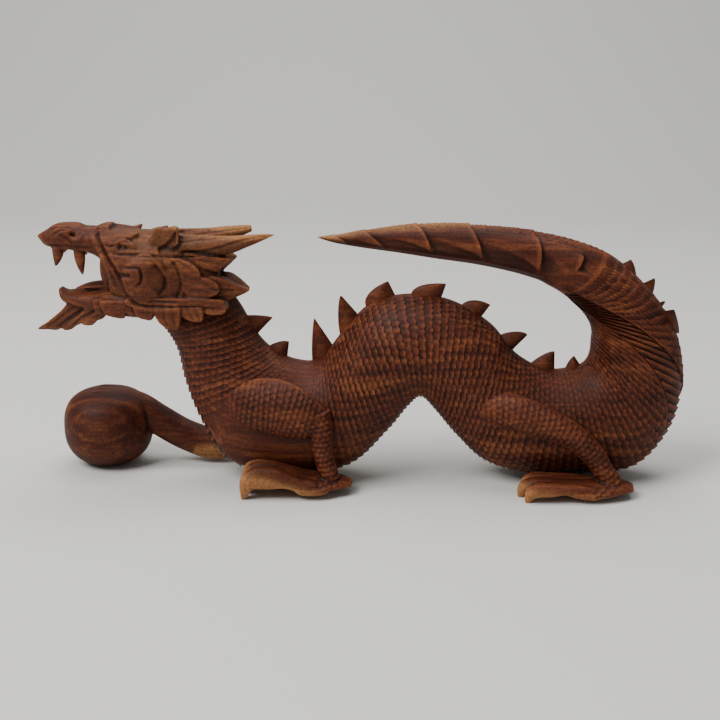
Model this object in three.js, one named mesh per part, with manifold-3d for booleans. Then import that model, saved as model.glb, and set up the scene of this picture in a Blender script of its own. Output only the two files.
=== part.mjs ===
// A wooden dragon carved from one block: open-jawed head with horns, mane and beard, an arched scaled
// body with spines along its back, a tail that turns over and runs forward above the back, one forefoot
// and two hind feet on the ground, and the other forearm reaching forward over a pearl.
//
// Frame: millimetres, +X towards the hind end, +Y towards the side with the pearl, +Z up. The origin is
// on the ground under the middle of the carving's box.
//
// The figure's pose and carving are shares of the block it is cut from. X and Z are thousandths of its
// length, Y and widths across are thousandths of its depth.

import * as THREE from 'three';
import Module from 'manifold-3d';
import { mergeVertices } from 'three/addons/utils/BufferGeometryUtils.js';

const wasm = await Module();
wasm.setup();

// Driving sizes, in millimetres.
const length = 300;
const depth = 84;
const pearlWidth = 42.6;
const pearlHeight = 37;
const spineThickness = 4.6;
const fangLength = 9;
const eyeDiameter = 5.4;
const groundFlat = 0.5;

const along = (share) => share * length / 1000;
const across = (share) => share * depth / 1000;
const at = (x, y, z) => new THREE.Vector3(along(x), across(y), along(z));

// Closed skin over rings of points. A ring of one point closes its end in a tip, any other end ring is
// closed by a fan round its middle.
function skin(rings) {
  const points = [];
  const faces = [];
  const starts = rings.map((ring) => {
    const start = points.length;
    points.push(...ring);
    return start;
  });
  const sides = Math.max(...rings.map((ring) => ring.length));
  const vertex = (ring, side) => starts[ring] + (rings[ring].length === 1 ? 0 : side % sides);
  for (let ring = 0; ring < rings.length - 1; ring += 1) {
    for (let side = 0; side < sides; side += 1) {
      const here = vertex(ring, side);
      const next = vertex(ring, side + 1);
      const above = vertex(ring + 1, side);
      const aboveNext = vertex(ring + 1, side + 1);
      if (here !== next) faces.push([here, next, aboveNext]);
      if (above !== aboveNext) faces.push([here, aboveNext, above]);
    }
  }
  for (const [ring, turn] of [[0, 1], [rings.length - 1, 0]]) {
    if (rings[ring].length === 1) continue;
    const middle = new THREE.Vector3();
    rings[ring].forEach((point) => middle.add(point));
    const centre = points.length;
    points.push(middle.divideScalar(sides));
    for (let side = 0; side < sides; side += 1) {
      faces.push([centre, vertex(ring, side + turn), vertex(ring, side + 1 - turn)]);
    }
  }
  return solid(points, faces);
}

// A solid from points and triangles, turned so that its faces point outwards.
function solid(points, faces) {
  const edge = new THREE.Vector3();
  const volume = faces.reduce((sum, [a, b, c]) => (
    sum + points[a].dot(edge.copy(points[b]).cross(points[c]))), 0);
  const outward = volume > 0 ? faces : faces.map(([a, b, c]) => [a, c, b]);
  return new wasm.Manifold(new wasm.Mesh({
    numProp: 3,
    vertProperties: Float32Array.from(points.flatMap((point) => point.toArray())),
    triVerts: Uint32Array.from(outward.flat()),
  }));
}

// Value of a smooth curve through evenly numbered values, at a place that may lie between two.
function between(values, place) {
  const last = values.length - 1;
  const from = Math.min(Math.max(Math.floor(place), 0), last - 1);
  const t = Math.min(Math.max(place - from, 0), 1);
  const v = (index) => values[Math.min(Math.max(index, 0), last)];
  const start = (v(from + 1) - v(from - 1)) / 2;
  const end = (v(from + 2) - v(from)) / 2;
  return (2 * t ** 3 - 3 * t ** 2 + 1) * v(from) + (t ** 3 - 2 * t ** 2 + t) * start
    + (3 * t ** 2 - 2 * t ** 3) * v(from + 1) + (t ** 3 - t ** 2) * end;
}

const rounded = (value, exponent) => Math.sign(value) * Math.abs(value) ** (2 / exponent);

// A limb: oval rings square to a path. Each station is x, y, z, half height and half width across.
function limb(stations, sides = 10, steps = 1, exponent = 2) {
  const count = (stations.length - 1) * steps;
  const column = (index) => stations.map((station) => station[index]);
  const value = (index, step) => between(column(index), step / steps);
  const place = (step) => at(value(0, step), value(1, step), value(2, step));
  const rings = [];
  for (let step = 0; step <= count; step += 1) {
    const centre = place(step);
    const tangent = place(Math.min(step + 1, count)).sub(place(Math.max(step - 1, 0))).normalize();
    const side = new THREE.Vector3(0, 1, 0).addScaledVector(tangent, -tangent.y).normalize();
    const rise = new THREE.Vector3().crossVectors(side, tangent);
    const half = Math.max(along(value(3, step)), 0);
    const broad = Math.max(across(value(4, step)), 0);
    if (half < along(0.3)) {
      rings.push([centre]);
      continue;
    }
    rings.push(Array.from({ length: sides }, (_, index) => {
      const angle = 2 * Math.PI * (index + 0.5) / sides;
      return centre.clone()
        .addScaledVector(rise, half * rounded(Math.cos(angle), exponent))
        .addScaledVector(side, broad * rounded(Math.sin(angle), exponent));
    }));
  }
  return skin(rings);
}

// The same limb on the other side of the carving.
const mirrored = (stations) => stations.map(([x, y, z, ...rest]) => [x, -y, z, ...rest]);

// The body is a ladder of rungs from inside the head to the tail's tip. A rung is the belly-side point
// x, z, the back-side point x, z, the half width, and how far the carving has turned about the body.
const rungs = [
  [-336, 281, -234, 343, 150, 0],
  [-304, 244, -189, 285, 198, 0],
  [-285, 211, -160, 233, 221, 0],
  [-275, 161, -136, 207, 236, 0],
  [-257, 105, -111, 193, 250, 0],
  [-219, 34, -91, 188, 258, 0],
  [-156, 6, -79, 187, 261, 0],
  [-88, 4, -68, 190, 261, 0],
  [-13, 21, -53, 201, 257, 0],
  [44, 76, -20, 244, 250, 0],
  [75, 115, 20, 281, 244, 0],
  [94, 129, 79, 293, 240, 0],
  [116, 107, 140, 282, 244, 0],
  [150, 66, 198, 247, 250, 0],
  [197, 24, 240, 199, 257, 0],
  [271, 4, 287, 175, 261, 0],
  [358, 4, 326, 177, 258, 0],
  [435, 18, 348, 187, 250, 0],
  [483, 76, 356, 211, 240, 7],
  [501, 146, 353, 241, 225, 44],
  [489, 222, 341, 263, 207, 108],
  [457, 281, 320, 283, 186, 150],
  [410, 329, 286, 306, 164, 172],
  [354, 365, 237, 323, 143, 180],
  [270, 388, 173, 337, 125, 180],
  [177, 399, 109, 346, 110, 180],
  [96, 401, 53, 355, 92, 180],
  [18, 393, 0, 363, 62, 180],
  [-33, 385, -36, 370, 32, 180],
  [-66, 381, -66, 379.6, 4, 180],
];
const rungValue = (index, place) => between(rungs.map((rung) => rung[index]), place);

// Point of the body at a place along the ladder. The turn is 0 on the back, 90 on the near flank and
// 180 on the belly, and swell is 1 on the plain surface.
function bodyPoint(place, turn, swell = 1) {
  const belly = at(rungValue(0, place), 0, rungValue(1, place));
  const back = at(rungValue(2, place), 0, rungValue(3, place));
  const angle = THREE.MathUtils.degToRad(turn - rungValue(5, place));
  const centre = belly.clone().add(back).divideScalar(2);
  const reach = back.sub(belly).divideScalar(2);
  const broad = Math.max(across(rungValue(4, place)), across(2));
  return centre.addScaledVector(reach, swell * Math.cos(angle))
    .add(new THREE.Vector3(0, -swell * broad * Math.sin(angle), 0));
}

// Section of the body: the belly is a flatter band between two cut edges.
const bandHalf = 33;
const section = [
  [0, 1.015],
  [22, 0.993],
  [48, 0.99],
  [74, 1],
  [98, 1],
  [122, 1],
  [180 - bandHalf - 1, 1],
  [180 - bandHalf + 1, 0.955],
  [167, 0.975],
  [180, 0.98],
];
const wholeSection = [
  ...section,
  ...section.slice(1, -1).reverse().map(([turn, swell]) => [360 - turn, swell]),
];

// The tail's last stretch is carved in locks, each swelling towards its own cut step.
const lockSteps = [23.4, 24.55, 25.6, 26.75, 27.8];
const lockRise = 0.12;
const lockCut = 0.03;
const slantFrom = 19.5;
const slantMost = 0.72;
const slantFade = 0.075;
const tailEnd = 29;
const bodyStep = 0.65;

// How far a section leans over along the tail, so that the cut steps run down and back.
function lockSlant(place) {
  const grown = THREE.MathUtils.smoothstep(place, slantFrom, lockSteps[0]);
  return -grown * (slantMost - slantFade * Math.max(place - lockSteps[0], 0));
}

function bodyRings() {
  const plain = [];
  for (let place = 0; place < lockSteps[0] - bodyStep / 2; place += bodyStep) plain.push([place, 1]);
  const locks = lockSteps.flatMap((step, index) => {
    const next = lockSteps[index + 1] ?? tailEnd;
    return [
      [step - lockCut, 1],
      [step + lockCut, 1 + lockRise],
      [(step + next) / 2, 1 + lockRise / 2],
    ];
  });
  return [...plain, ...locks].map(([place, swell]) => (
    wholeSection.map(([turn, shape]) => {
      const shift = lockSlant(place) * Math.cos(THREE.MathUtils.degToRad(turn));
      return bodyPoint(Math.min(place - shift, tailEnd - lockCut), turn, shape * swell);
    })));
}

const body = skin([...bodyRings(), [bodyPoint(tailEnd, 0)]]);

// A spine: a lens-shaped fin that leans towards the tail. It stands on the line down the back.
function spine(place, rise, lean, base) {
  const step = 0.05;
  const foot = bodyPoint(place, 0);
  const tangent = bodyPoint(place + step, 0).sub(bodyPoint(place - step, 0)).normalize();
  const rungMiddle = bodyPoint(place, 0).add(bodyPoint(place, 180)).divideScalar(2);
  const out = foot.clone().sub(rungMiddle);
  out.addScaledVector(tangent, -out.dot(tangent)).normalize();
  const side = new THREE.Vector3().crossVectors(tangent, out);
  const sunk = 0.45;
  const ring = (height, share) => {
    const lift = height * along(rise);
    const shift = along(lean) * Math.max(height, 0) ** 1.25;
    const half = share * along(base) / 2;
    const thick = spineThickness / 2 * (share * 0.75 + 0.25);
    const outline = [[1, 0], [0.35, 1], [-0.45, 1], [-1, 0], [-0.45, -1], [0.35, -1]];
    return outline.map(([u, v]) => foot.clone().addScaledVector(out, lift)
      .addScaledVector(tangent, shift + half * u)
      .addScaledVector(side, thick * v));
  };
  const tip = foot.clone().addScaledVector(out, along(rise)).addScaledVector(tangent, along(lean));
  return skin([ring(-sunk, 1.05), ring(0, 1), ring(0.45, 0.62), ring(0.8, 0.28), [tip]]);
}

// Spines from the neck to the tail: place on the ladder, rise, lean towards the tail, length of base.
const spines = [
  [1.72, 34, 5, 34],
  [3.3, 24, 6, 36],
  [7.75, 54, 30, 44],
  [9.05, 40, 26, 42],
  [10.18, 23, 21, 48],
  [11.34, 21, 28, 46],
  [12.48, 23, 20, 36],
  [13.6, 34, 10, 32],
  [14.87, 31, 9, 42],
  [16.1, 18, 5, 26],
  [19.3, 26, 14, 34],
  [19.9, 27, 14, 34],
  [20.5, 29, 13, 34],
  [21.27, 19, 12, 34],
  [22.03, 13, 10, 32],
];

// Head. Stations run from the nose tip back into the neck.
const skull = [
  [-482, 0, 383, 4, 58],
  [-470, 0, 379, 13, 104],
  [-440, 0, 378, 16, 136],
  [-412, 0, 374, 18, 150],
  [-390, 0, 366, 27, 170],
  [-366, 0, 347, 48, 200],
  [-328, 0, 334, 59, 226],
  [-288, 0, 326, 62, 232],
  [-250, 0, 318, 54, 214],
  [-216, 0, 310, 42, 176],
];
const noseBump = [
  [-468, 0, 386, 7, 56],
  [-448, 0, 391, 12, 88],
  [-426, 0, 391, 12, 92],
  [-408, 0, 384, 7, 66],
];
const nostril = [
  [-462, -100, 380, 6, 18],
  [-450, -118, 384, 10, 26],
  [-436, -122, 381, 9, 24],
  [-424, -122, 372, 5, 16],
];
const brow = [
  [-396, -72, 383, 12, 34],
  [-382, -96, 389, 16, 44],
  [-356, -118, 386, 14, 48],
  [-332, -118, 388, 10, 36],
  [-318, -108, 398, 1.5, 10],
];
const lowerJaw = [
  [-457, 0, 304, 2.5, 30],
  [-447, 0, 292, 9, 80],
  [-425, 0, 289, 12, 116],
  [-395, 0, 287, 17, 150],
  [-360, 0, 287, 24, 186],
  [-320, 0, 288, 28, 210],
];
const tongue = [
  [-432, 0, 299, 5, 46],
  [-412, 0, 306, 6, 62],
  [-390, 0, 308, 7, 66],
  [-365, 0, 308, 8, 60],
];
const ear = [
  [-320, -160, 366, 13, 40],
  [-302, -170, 376, 19, 36],
  [-284, -160, 385, 14, 28],
  [-272, -140, 397, 1.5, 10],
];
const horn = [
  [-285, -104, 372, 18, 62],
  [-240, -116, 372, 17, 66],
  [-200, -128, 374, 14, 58],
  [-168, -136, 381, 9, 42],
  [-143, -140, 387, 4.5, 24],
  [-125, -142, 391, 0.2, 2],
];
const shortHorn = [
  [-285, 104, 372, 18, 62],
  [-240, 116, 374, 16, 62],
  [-205, 126, 380, 13, 54],
  [-182, 132, 386, 8, 36],
  [-168, 134, 389, 5, 24],
];
const beard = [
  [-385, 0, 276, 18, 116],
  [-414, 0, 266, 18, 108],
  [-443, 0, 256, 17, 90],
  [-468, 0, 246, 9.5, 60],
  [-498, 0, 238, 0.2, 4],
];

// Pointed leaves of the mane and the jaw's fringe: a root, a widest point, a tip and a half height.
const leaves = [
  [[-400, -146, 284], [-384, -166, 277], [-366, -172, 268], 11],
  [[-372, -176, 288], [-356, -192, 279], [-336, -198, 268], 13],
  [[-338, -196, 286], [-320, -210, 276], [-298, -216, 264], 14],
  [[-312, -204, 288], [-293, -226, 272], [-270, -230, 256], 15],
  [[-280, -206, 296], [-258, -228, 280], [-233, -232, 265], 17],
  [[-255, -196, 306], [-228, -216, 292], [-200, -214, 278], 16],
  [[-268, -190, 326], [-222, -204, 312], [-174, -150, 302], 18],
  [[-268, -176, 348], [-228, -180, 345], [-188, -120, 350], 18],
];
const backLeaves = [
  [[-250, 0, 348], [-218, 0, 348], [-186, 0, 352], 19],
  [[-235, 0, 312], [-205, 0, 308], [-168, 0, 303], 20],
];
const leafWidth = 44;
const backLeafWidth = 118;

function leaf([root, widest, tip, half], broad = leafWidth) {
  const nearTip = widest.map((value, index) => (value + tip[index]) / 2);
  return limb([
    [...root, half * 0.7, broad * 0.8],
    [...widest, half, broad],
    [...nearTip, half * 0.65, broad * 0.7],
    [...tip, 0.2, 1],
  ], 6);
}

// Cheek: a low dome, and a raised comma that winds in over it.
const cheekMiddle = [-313, 331];
const cheekRadius = 38;
const cheekRim = 196;
const cheekTop = 262;
const commaTurns = 1.15;

function cheekHeight(share) {
  return cheekRim + (cheekTop - cheekRim) * Math.sqrt(Math.max(1 - share ** 2, 0));
}

function cheek(side) {
  const corners = 14;
  const rings = [1, 0.97, 0.8, 0.5].map((share) => Array.from({ length: corners }, (_, corner) => {
    const angle = 2 * Math.PI * corner / corners;
    const radius = cheekRadius * share;
    return at(cheekMiddle[0] + radius * Math.cos(angle), side * cheekHeight(share),
      cheekMiddle[1] + radius * Math.sin(angle));
  }));
  const seat = rings[0].map((point) => point.clone().setY(side * across(cheekRim * 0.7)));
  return skin([seat, ...rings, [at(cheekMiddle[0], side * cheekTop, cheekMiddle[1])]]);
}

function cheekComma(side) {
  const steps = 9;
  return limb(Array.from({ length: steps + 1 }, (_, step) => {
    const share = step / steps;
    const angle = Math.PI * (0.75 - 2 * commaTurns * share);
    const out = 0.86 - 0.6 * share;
    return [
      cheekMiddle[0] + cheekRadius * out * Math.cos(angle),
      side * (cheekHeight(out) + 2),
      cheekMiddle[1] + cheekRadius * out * Math.sin(angle),
      4 - 1.5 * share,
      20,
    ];
  }), 6);
}

// Legs, on the near side. The foreleg's upper arm lies along the chest and the foot points forward.
const upperArm = [
  [-186, -190, 142, 32, 90],
  [-160, -230, 138, 40, 104],
  [-125, -258, 134, 43, 104],
  [-88, -268, 121, 36, 96],
  [-60, -262, 112, 22, 70],
];
const forearm = [
  [-68, -262, 128, 22, 76],
  [-62, -268, 100, 20, 74],
  [-58, -272, 66, 15, 62],
  [-50, -276, 36, 15, 62],
  [-46, -278, 14, 17, 66],
];
const thigh = [
  [196, -196, 128, 30, 84],
  [232, -244, 126, 27, 92],
  [280, -278, 111, 24, 88],
  [318, -296, 93, 20, 80],
  [346, -304, 68, 18, 74],
  [364, -312, 42, 16, 68],
  [382, -322, 14, 18, 72],
];
const forePalm = [
  [-14, -276, 10, 5, 46],
  [-34, -266, 10, 8, 92],
  [-62, -256, 9, 12, 124],
  [-92, -256, 14, 8, 124],
];
const hindPalm = [
  [412, -326, 8, 6, 52],
  [388, -320, 9, 9, 100],
  [352, -320, 8, 11, 136],
  [322, -322, 10, 8, 132],
];
const foreToe = [
  [-84, 0, 14, 9, 42],
  [-110, 0, 25, 8, 42],
  [-134, 0, 31, 13, 44],
  [-158, 0, 30, 14, 44],
  [-174, 0, 21, 11, 38],
  [-180, 0, 8, 6, 22],
  [-182, 0, -2, 2, 8],
];
const hindToe = [
  [332, 0, 10, 8, 42],
  [306, 0, 15, 8, 42],
  [282, 0, 16, 9, 44],
  [262, 0, 15, 10, 44],
  [250, 0, 10, 8, 34],
  [245, 0, -2, 3, 12],
];
const toeSpacing = 84;
const toesPerFoot = 3;
const innerForeToe = -188;
const innerHindToe = -236;
const hindToeStagger = 8;

function toes(toe, inner, stagger) {
  return Array.from({ length: toesPerFoot }, (_, index) => (
    toe.map(([x, y, z, ...rest]) => {
      const reach = stagger * (index === 1 ? 1 : 0);
      return [x - reach, y + inner - toeSpacing * index, z, ...rest];
    })));
}

// The other forearm reaches forward from the elbow, and its paw lies over the pearl.
const pearlCentre = [-412, 238];
const farArm = [
  [-168, 170, 140, 40, 96],
  [-182, 222, 96, 36, 100],
  [-204, 244, 50, 32, 100],
  [-240, 246, 30, 27, 96],
  [-286, 248, 44, 25, 92],
  [-330, 250, 70, 25, 92],
  [-362, 250, 92, 24, 96],
  [-386, 246, 108, 18, 100],
  [-404, 242, 115, 10, 92],
];
const pawClaws = [-76, 0, 76];

function pearl() {
  const stacks = 8;
  const sides = 16;
  const shape = 2.6;
  const rings = [];
  for (let stack = 0; stack <= stacks; stack += 1) {
    const tilt = Math.PI * (stack / stacks - 0.5);
    const radius = pearlWidth / 2 * rounded(Math.cos(tilt), shape);
    const height = pearlHeight / 2 * (1 + rounded(Math.sin(tilt), shape)) - groundFlat;
    const centre = at(pearlCentre[0], pearlCentre[1], 0);
    if (stack === 0 || stack === stacks) {
      rings.push([centre.setZ(height)]);
      continue;
    }
    rings.push(Array.from({ length: sides }, (_, side) => {
      const angle = 2 * Math.PI * side / sides;
      return new THREE.Vector3(
        centre.x + radius * Math.cos(angle), centre.y + radius * Math.sin(angle), height);
    }));
  }
  return skin(rings);
}

function claw(offset) {
  const y = pearlCentre[1] + offset;
  const top = pearlHeight * 1000 / length;
  const reach = pearlWidth * 500 / length;
  return limb([
    [-392, y * 0.98, top - 10, 12, 34],
    [-416, y, top - 4, 9, 32],
    [-440, y, top - 12, 7, 26],
    [pearlCentre[0] - reach * 0.72, y, top - 34, 2, 10],
  ], 6);
}

// Fangs hang from the upper jaw, front pair and longer rear pair.
function fang(x, y, z, share) {
  const root = at(x, y, z);
  const half = along(7.5);
  const ring = [[1, 0], [0.3, 1], [-0.8, 0.7], [-0.8, -0.7], [0.3, -1]].map(([u, v]) => (
    root.clone().add(new THREE.Vector3(half * u, half * 0.7 * v, 0))));
  const upper = ring.map((point) => point.clone().setZ(point.z + along(12)));
  const tip = root.clone().add(new THREE.Vector3(along(-1), 0, -fangLength * share));
  return skin([upper, ring, [tip]]);
}

function fromGeometry(geometry) {
  geometry.deleteAttribute('normal');
  geometry.deleteAttribute('uv');
  const merged = mergeVertices(geometry);
  return new wasm.Manifold(new wasm.Mesh({
    numProp: 3,
    vertProperties: Float32Array.from(merged.attributes.position.array),
    triVerts: Uint32Array.from(merged.index.array),
  }));
}

function eye(side) {
  const ball = new THREE.SphereGeometry(eyeDiameter / 2, 8, 6);
  return fromGeometry(ball.translate(along(-349), side * across(178), along(374)));
}

const bothSides = (stations) => [stations, mirrored(stations)];
const pieces = [
  body,
  ...spines.map((values) => spine(...values)),
  limb(skull, 14, 1, 2.5),
  limb(noseBump, 8, 1),
  ...bothSides(nostril).map((stations) => limb(stations, 6)),
  ...bothSides(brow).map((stations) => limb(stations, 6)),
  limb(lowerJaw, 10, 1, 2.4),
  limb(tongue, 8),
  ...bothSides(ear).map((stations) => limb(stations, 6)),
  limb(horn, 8),
  limb(shortHorn, 8),
  limb(beard, 8),
  ...leaves.flatMap((points) => [leaf(points), leaf([...mirrored(points.slice(0, 3)), points[3]])]),
  ...backLeaves.map((points) => leaf(points, backLeafWidth)),
  ...[-1, 1].flatMap((side) => [cheek(side), cheekComma(side)]),
  limb(upperArm, 12),
  limb(forearm, 10),
  limb(farArm, 10),
  pearl(),
  ...pawClaws.map(claw),
  ...bothSides(thigh).map((stations) => limb(stations, 10)),
  limb(forePalm, 10),
  ...bothSides(hindPalm).map((stations) => limb(stations, 10)),
  ...toes(foreToe, innerForeToe, 0).map((stations) => limb(stations, 6)),
  ...toes(hindToe, innerHindToe, hindToeStagger).flatMap(bothSides).map((stations) => limb(stations, 6)),
  ...[-1, 1].flatMap((side) => [
    fang(-452, side * 90, 363, 0.75),
    fang(-417, side * 106, 358, 1),
    eye(side),
  ]),
];

let carving = pieces.reduce((whole, piece) => whole.add(piece));

// The soles and the pearl are cut flat where they stand.
const ground = new THREE.BoxGeometry(2 * length, 2 * length, length).translate(0, 0, -length / 2);
carving = carving.subtract(fromGeometry(ground));

const cut = carving.getMesh();
const geometry = new THREE.BufferGeometry();
geometry.setAttribute('position', new THREE.BufferAttribute(Float32Array.from(cut.vertProperties), 3));
geometry.setIndex(Array.from(cut.triVerts));
geometry.computeBoundingBox();
const middle = geometry.boundingBox.getCenter(new THREE.Vector3());
geometry.translate(-middle.x, -middle.y, -geometry.boundingBox.min.z);

const wood = new THREE.MeshStandardMaterial({ color: 0x6a3420, roughness: 0.5, metalness: 0 });
const dragon = new THREE.Mesh(geometry, wood);
dragon.name = 'dragon';
const carvingGroup = new THREE.Group();
carvingGroup.add(dragon);

export default carvingGroup;
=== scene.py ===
"""Looks of a small dragon carved from one block of wood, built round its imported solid.

Shapes are worked out in millimetres in the block's own coordinates, with the head at low X, the near
side at low Y and the ground at Z = 0, and are turned to metres in the frame when a mesh is made. The
pose and the carving are shares of the block: X and Z in thousandths of its length, and Y and widths
across in thousandths of its depth.
"""

from __future__ import annotations

import logging
import math
from dataclasses import dataclass
from enum import Enum

import bpy
import numpy as np
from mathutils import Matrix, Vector


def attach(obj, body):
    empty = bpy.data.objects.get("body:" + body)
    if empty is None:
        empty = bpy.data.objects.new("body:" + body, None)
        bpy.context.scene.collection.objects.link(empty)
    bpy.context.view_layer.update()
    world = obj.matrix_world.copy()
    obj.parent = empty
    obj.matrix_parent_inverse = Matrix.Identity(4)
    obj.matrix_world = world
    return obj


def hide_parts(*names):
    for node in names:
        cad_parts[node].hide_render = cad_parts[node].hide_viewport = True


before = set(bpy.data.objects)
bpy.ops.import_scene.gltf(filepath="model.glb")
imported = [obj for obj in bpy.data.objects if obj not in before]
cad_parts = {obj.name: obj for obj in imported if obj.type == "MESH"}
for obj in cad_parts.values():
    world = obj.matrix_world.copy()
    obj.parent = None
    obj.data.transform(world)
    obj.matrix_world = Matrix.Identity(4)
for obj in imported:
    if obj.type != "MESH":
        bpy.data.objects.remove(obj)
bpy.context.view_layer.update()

log = logging.getLogger("dragon")

Rows = tuple[tuple[float, ...], ...]


@dataclass(frozen=True)
class Block:
    """The block that the figure is cut from.

    Its middle is the middle of the finished carving's box, in millimetres in the block's coordinates.
    """

    length: float = 300.0
    depth: float = 84.0
    middle: tuple[float, float, float] = (0.32, 1.494, 0.0)

    def points(self, shares: np.ndarray) -> np.ndarray:
        """Turns shares of the block's sides into millimetres."""
        return np.asarray(shares, float) * np.array([self.length, self.depth, self.length]) / 1000

    def along(self, share: float) -> float:
        """Turns a share of the length into millimetres."""
        return share * self.length / 1000

    def across(self, share: float) -> float:
        """Turns a share of the depth into millimetres."""
        return share * self.depth / 1000

    def shares(self, millimetres: np.ndarray | float) -> np.ndarray | float:
        """Turns millimetres along the block into shares of its length."""
        return millimetres * 1000 / self.length

    def metres(self, points: np.ndarray) -> np.ndarray:
        """Turns millimetres in the block into metres in the frame."""
        return (points - np.array(self.middle)) / 1000


BLOCK = Block()

# Least half width of a limb in millimetres, so that its tip is still a ring.
THINNEST = 0.05


@dataclass
class Shell:
    """A closed skin: points in millimetres, and its four-cornered and three-cornered faces."""

    points: np.ndarray
    quads: np.ndarray
    triangles: np.ndarray

    def faces(self) -> list[list[int]]:
        """All faces as lists of point numbers."""
        return self.quads.tolist() + self.triangles.tolist()

    def corners(self) -> np.ndarray:
        """All faces as triangles, each quad cut along a diagonal."""
        halves = [self.quads[:, [0, 1, 2]], self.quads[:, [0, 2, 3]], self.triangles]
        return np.concatenate(halves).astype(int)

    def outward(self) -> Shell:
        """The same skin with its faces pointing out: the sum of a . (b x c) over its triangles is
        six times the volume, so a negative sum means that the faces point in."""
        a, b, c = (self.points[self.corners()[:, k]] for k in range(3))
        if np.einsum("ij,ij->", a, np.cross(b, c)) >= 0:
            return self
        return Shell(self.points, self.quads[:, ::-1], self.triangles[:, ::-1])

    def mirrored(self) -> Shell:
        """The same skin on the other side of the block."""
        return Shell(self.points * np.array([1, -1, 1]), self.quads, self.triangles).outward()


def smoothstep(value: np.ndarray, low: float, high: float) -> np.ndarray:
    """A smooth rise from 0 at low to 1 at high: 3t^2 - 2t^3 of the share t of the way."""
    t = np.clip((np.asarray(value, float) - low) / (high - low), 0, 1)
    return t * t * (3 - 2 * t)


def curve(rows: Rows | np.ndarray, place: np.ndarray) -> np.ndarray:
    """A smooth curve through numbered rows of values.

    Between two rows it is the cubic whose slope at each row is half the step between that row's two
    neighbours.

    Args:
        rows: The values, one row for each whole place.
        place: Places on the curve, of any shape.

    Returns:
        The values at those places, in one more dimension.
    """
    table = np.asarray(rows, float)
    last = len(table) - 1
    start = np.clip(np.floor(place).astype(int), 0, last - 1)
    t = np.clip(place - start, 0, 1)[..., None]
    before, here, after, beyond = (table[np.clip(start + step, 0, last)] for step in (-1, 0, 1, 2))
    slope_in = (after - before) / 2
    slope_out = (beyond - here) / 2
    return ((2 * t**3 - 3 * t**2 + 1) * here + (t**3 - 2 * t**2 + t) * slope_in
            + (3 * t**2 - 2 * t**3) * after + (t**3 - t**2) * slope_out)


def smooth_path(line: Rows, steps: int) -> np.ndarray:
    """The smooth curve through points given in shares, in millimetres, in so many steps a span."""
    spans = len(line) - 1
    return BLOCK.along(curve(line, np.linspace(0, spans, spans * steps + 1)))


def rounded(value: np.ndarray, exponent: float) -> np.ndarray:
    """The signed power that turns a circle's sine or cosine into a squarer oval's."""
    return np.sign(value) * np.abs(value) ** (2 / exponent)


def unit(vectors: np.ndarray) -> np.ndarray:
    """The same directions with a length of one."""
    return vectors / np.maximum(np.linalg.norm(vectors, axis=-1, keepdims=True), 1e-9)


def full_turn(count: int, offset: float = 0.0) -> np.ndarray:
    """Evenly spaced angles round a circle in radians, shifted by a share of a step."""
    return 2 * np.pi * (np.arange(count) + offset) / count


def skin(rings: np.ndarray) -> Shell:
    """Closed skin over rings of points, with a fan round the middle of each end ring.

    Args:
        rings: Points, ring by ring, of shape (rings, sides, 3).

    Returns:
        The skin, its faces pointing out.
    """
    count, sides, _ = rings.shape
    ring, side = np.meshgrid(np.arange(count - 1), np.arange(sides), indexing="ij")
    after = (side + 1) % sides
    quads = np.stack([ring * sides + side, ring * sides + after,
                      (ring + 1) * sides + after, (ring + 1) * sides + side], axis=-1).reshape(-1, 4)
    first = count * sides
    edge = np.arange(sides)
    following = (edge + 1) % sides
    start = np.stack([np.full(sides, first), following, edge], axis=-1)
    top = (count - 1) * sides
    end = np.stack([np.full(sides, first + 1), top + edge, top + following], axis=-1)
    points = np.concatenate([rings.reshape(-1, 3), rings[0].mean(0)[None], rings[-1].mean(0)[None]])
    return Shell(points, quads, np.concatenate([start, end])).outward()


def limb(stations: Rows, sides: int = 24, steps: int = 8, exponent: float = 2.0) -> Shell:
    """A limb: oval rings square to a smooth path.

    A ring's point is the path's point plus the half height times the cosine and the half width times
    the sine of the angle, each raised to 2 / exponent.

    Args:
        stations: Rows of x, y, z, half height and half width across, in shares of the block.
        sides: Points round a ring.
        steps: Rings from one station to the next.
        exponent: 2 for an ellipse, more for a squarer oval.

    Returns:
        The limb's closed skin.
    """
    place = np.linspace(0, len(stations) - 1, (len(stations) - 1) * steps + 1)
    values = curve(stations, place)
    centre = BLOCK.points(values[:, :3])
    tangent = unit(np.gradient(centre, axis=0))
    side = unit(np.array([0.0, 1.0, 0.0]) - tangent * tangent[:, 1:2])
    rise = np.cross(side, tangent)
    half = np.maximum(BLOCK.along(values[:, 3]), THINNEST)[:, None, None]
    broad = np.maximum(BLOCK.across(values[:, 4]), THINNEST)[:, None, None]
    angle = full_turn(sides, 0.5)
    up = rounded(np.cos(angle), exponent)[None, :, None]
    out = rounded(np.sin(angle), exponent)[None, :, None]
    return skin(centre[:, None] + rise[:, None] * half * up + side[:, None] * broad * out)


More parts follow.
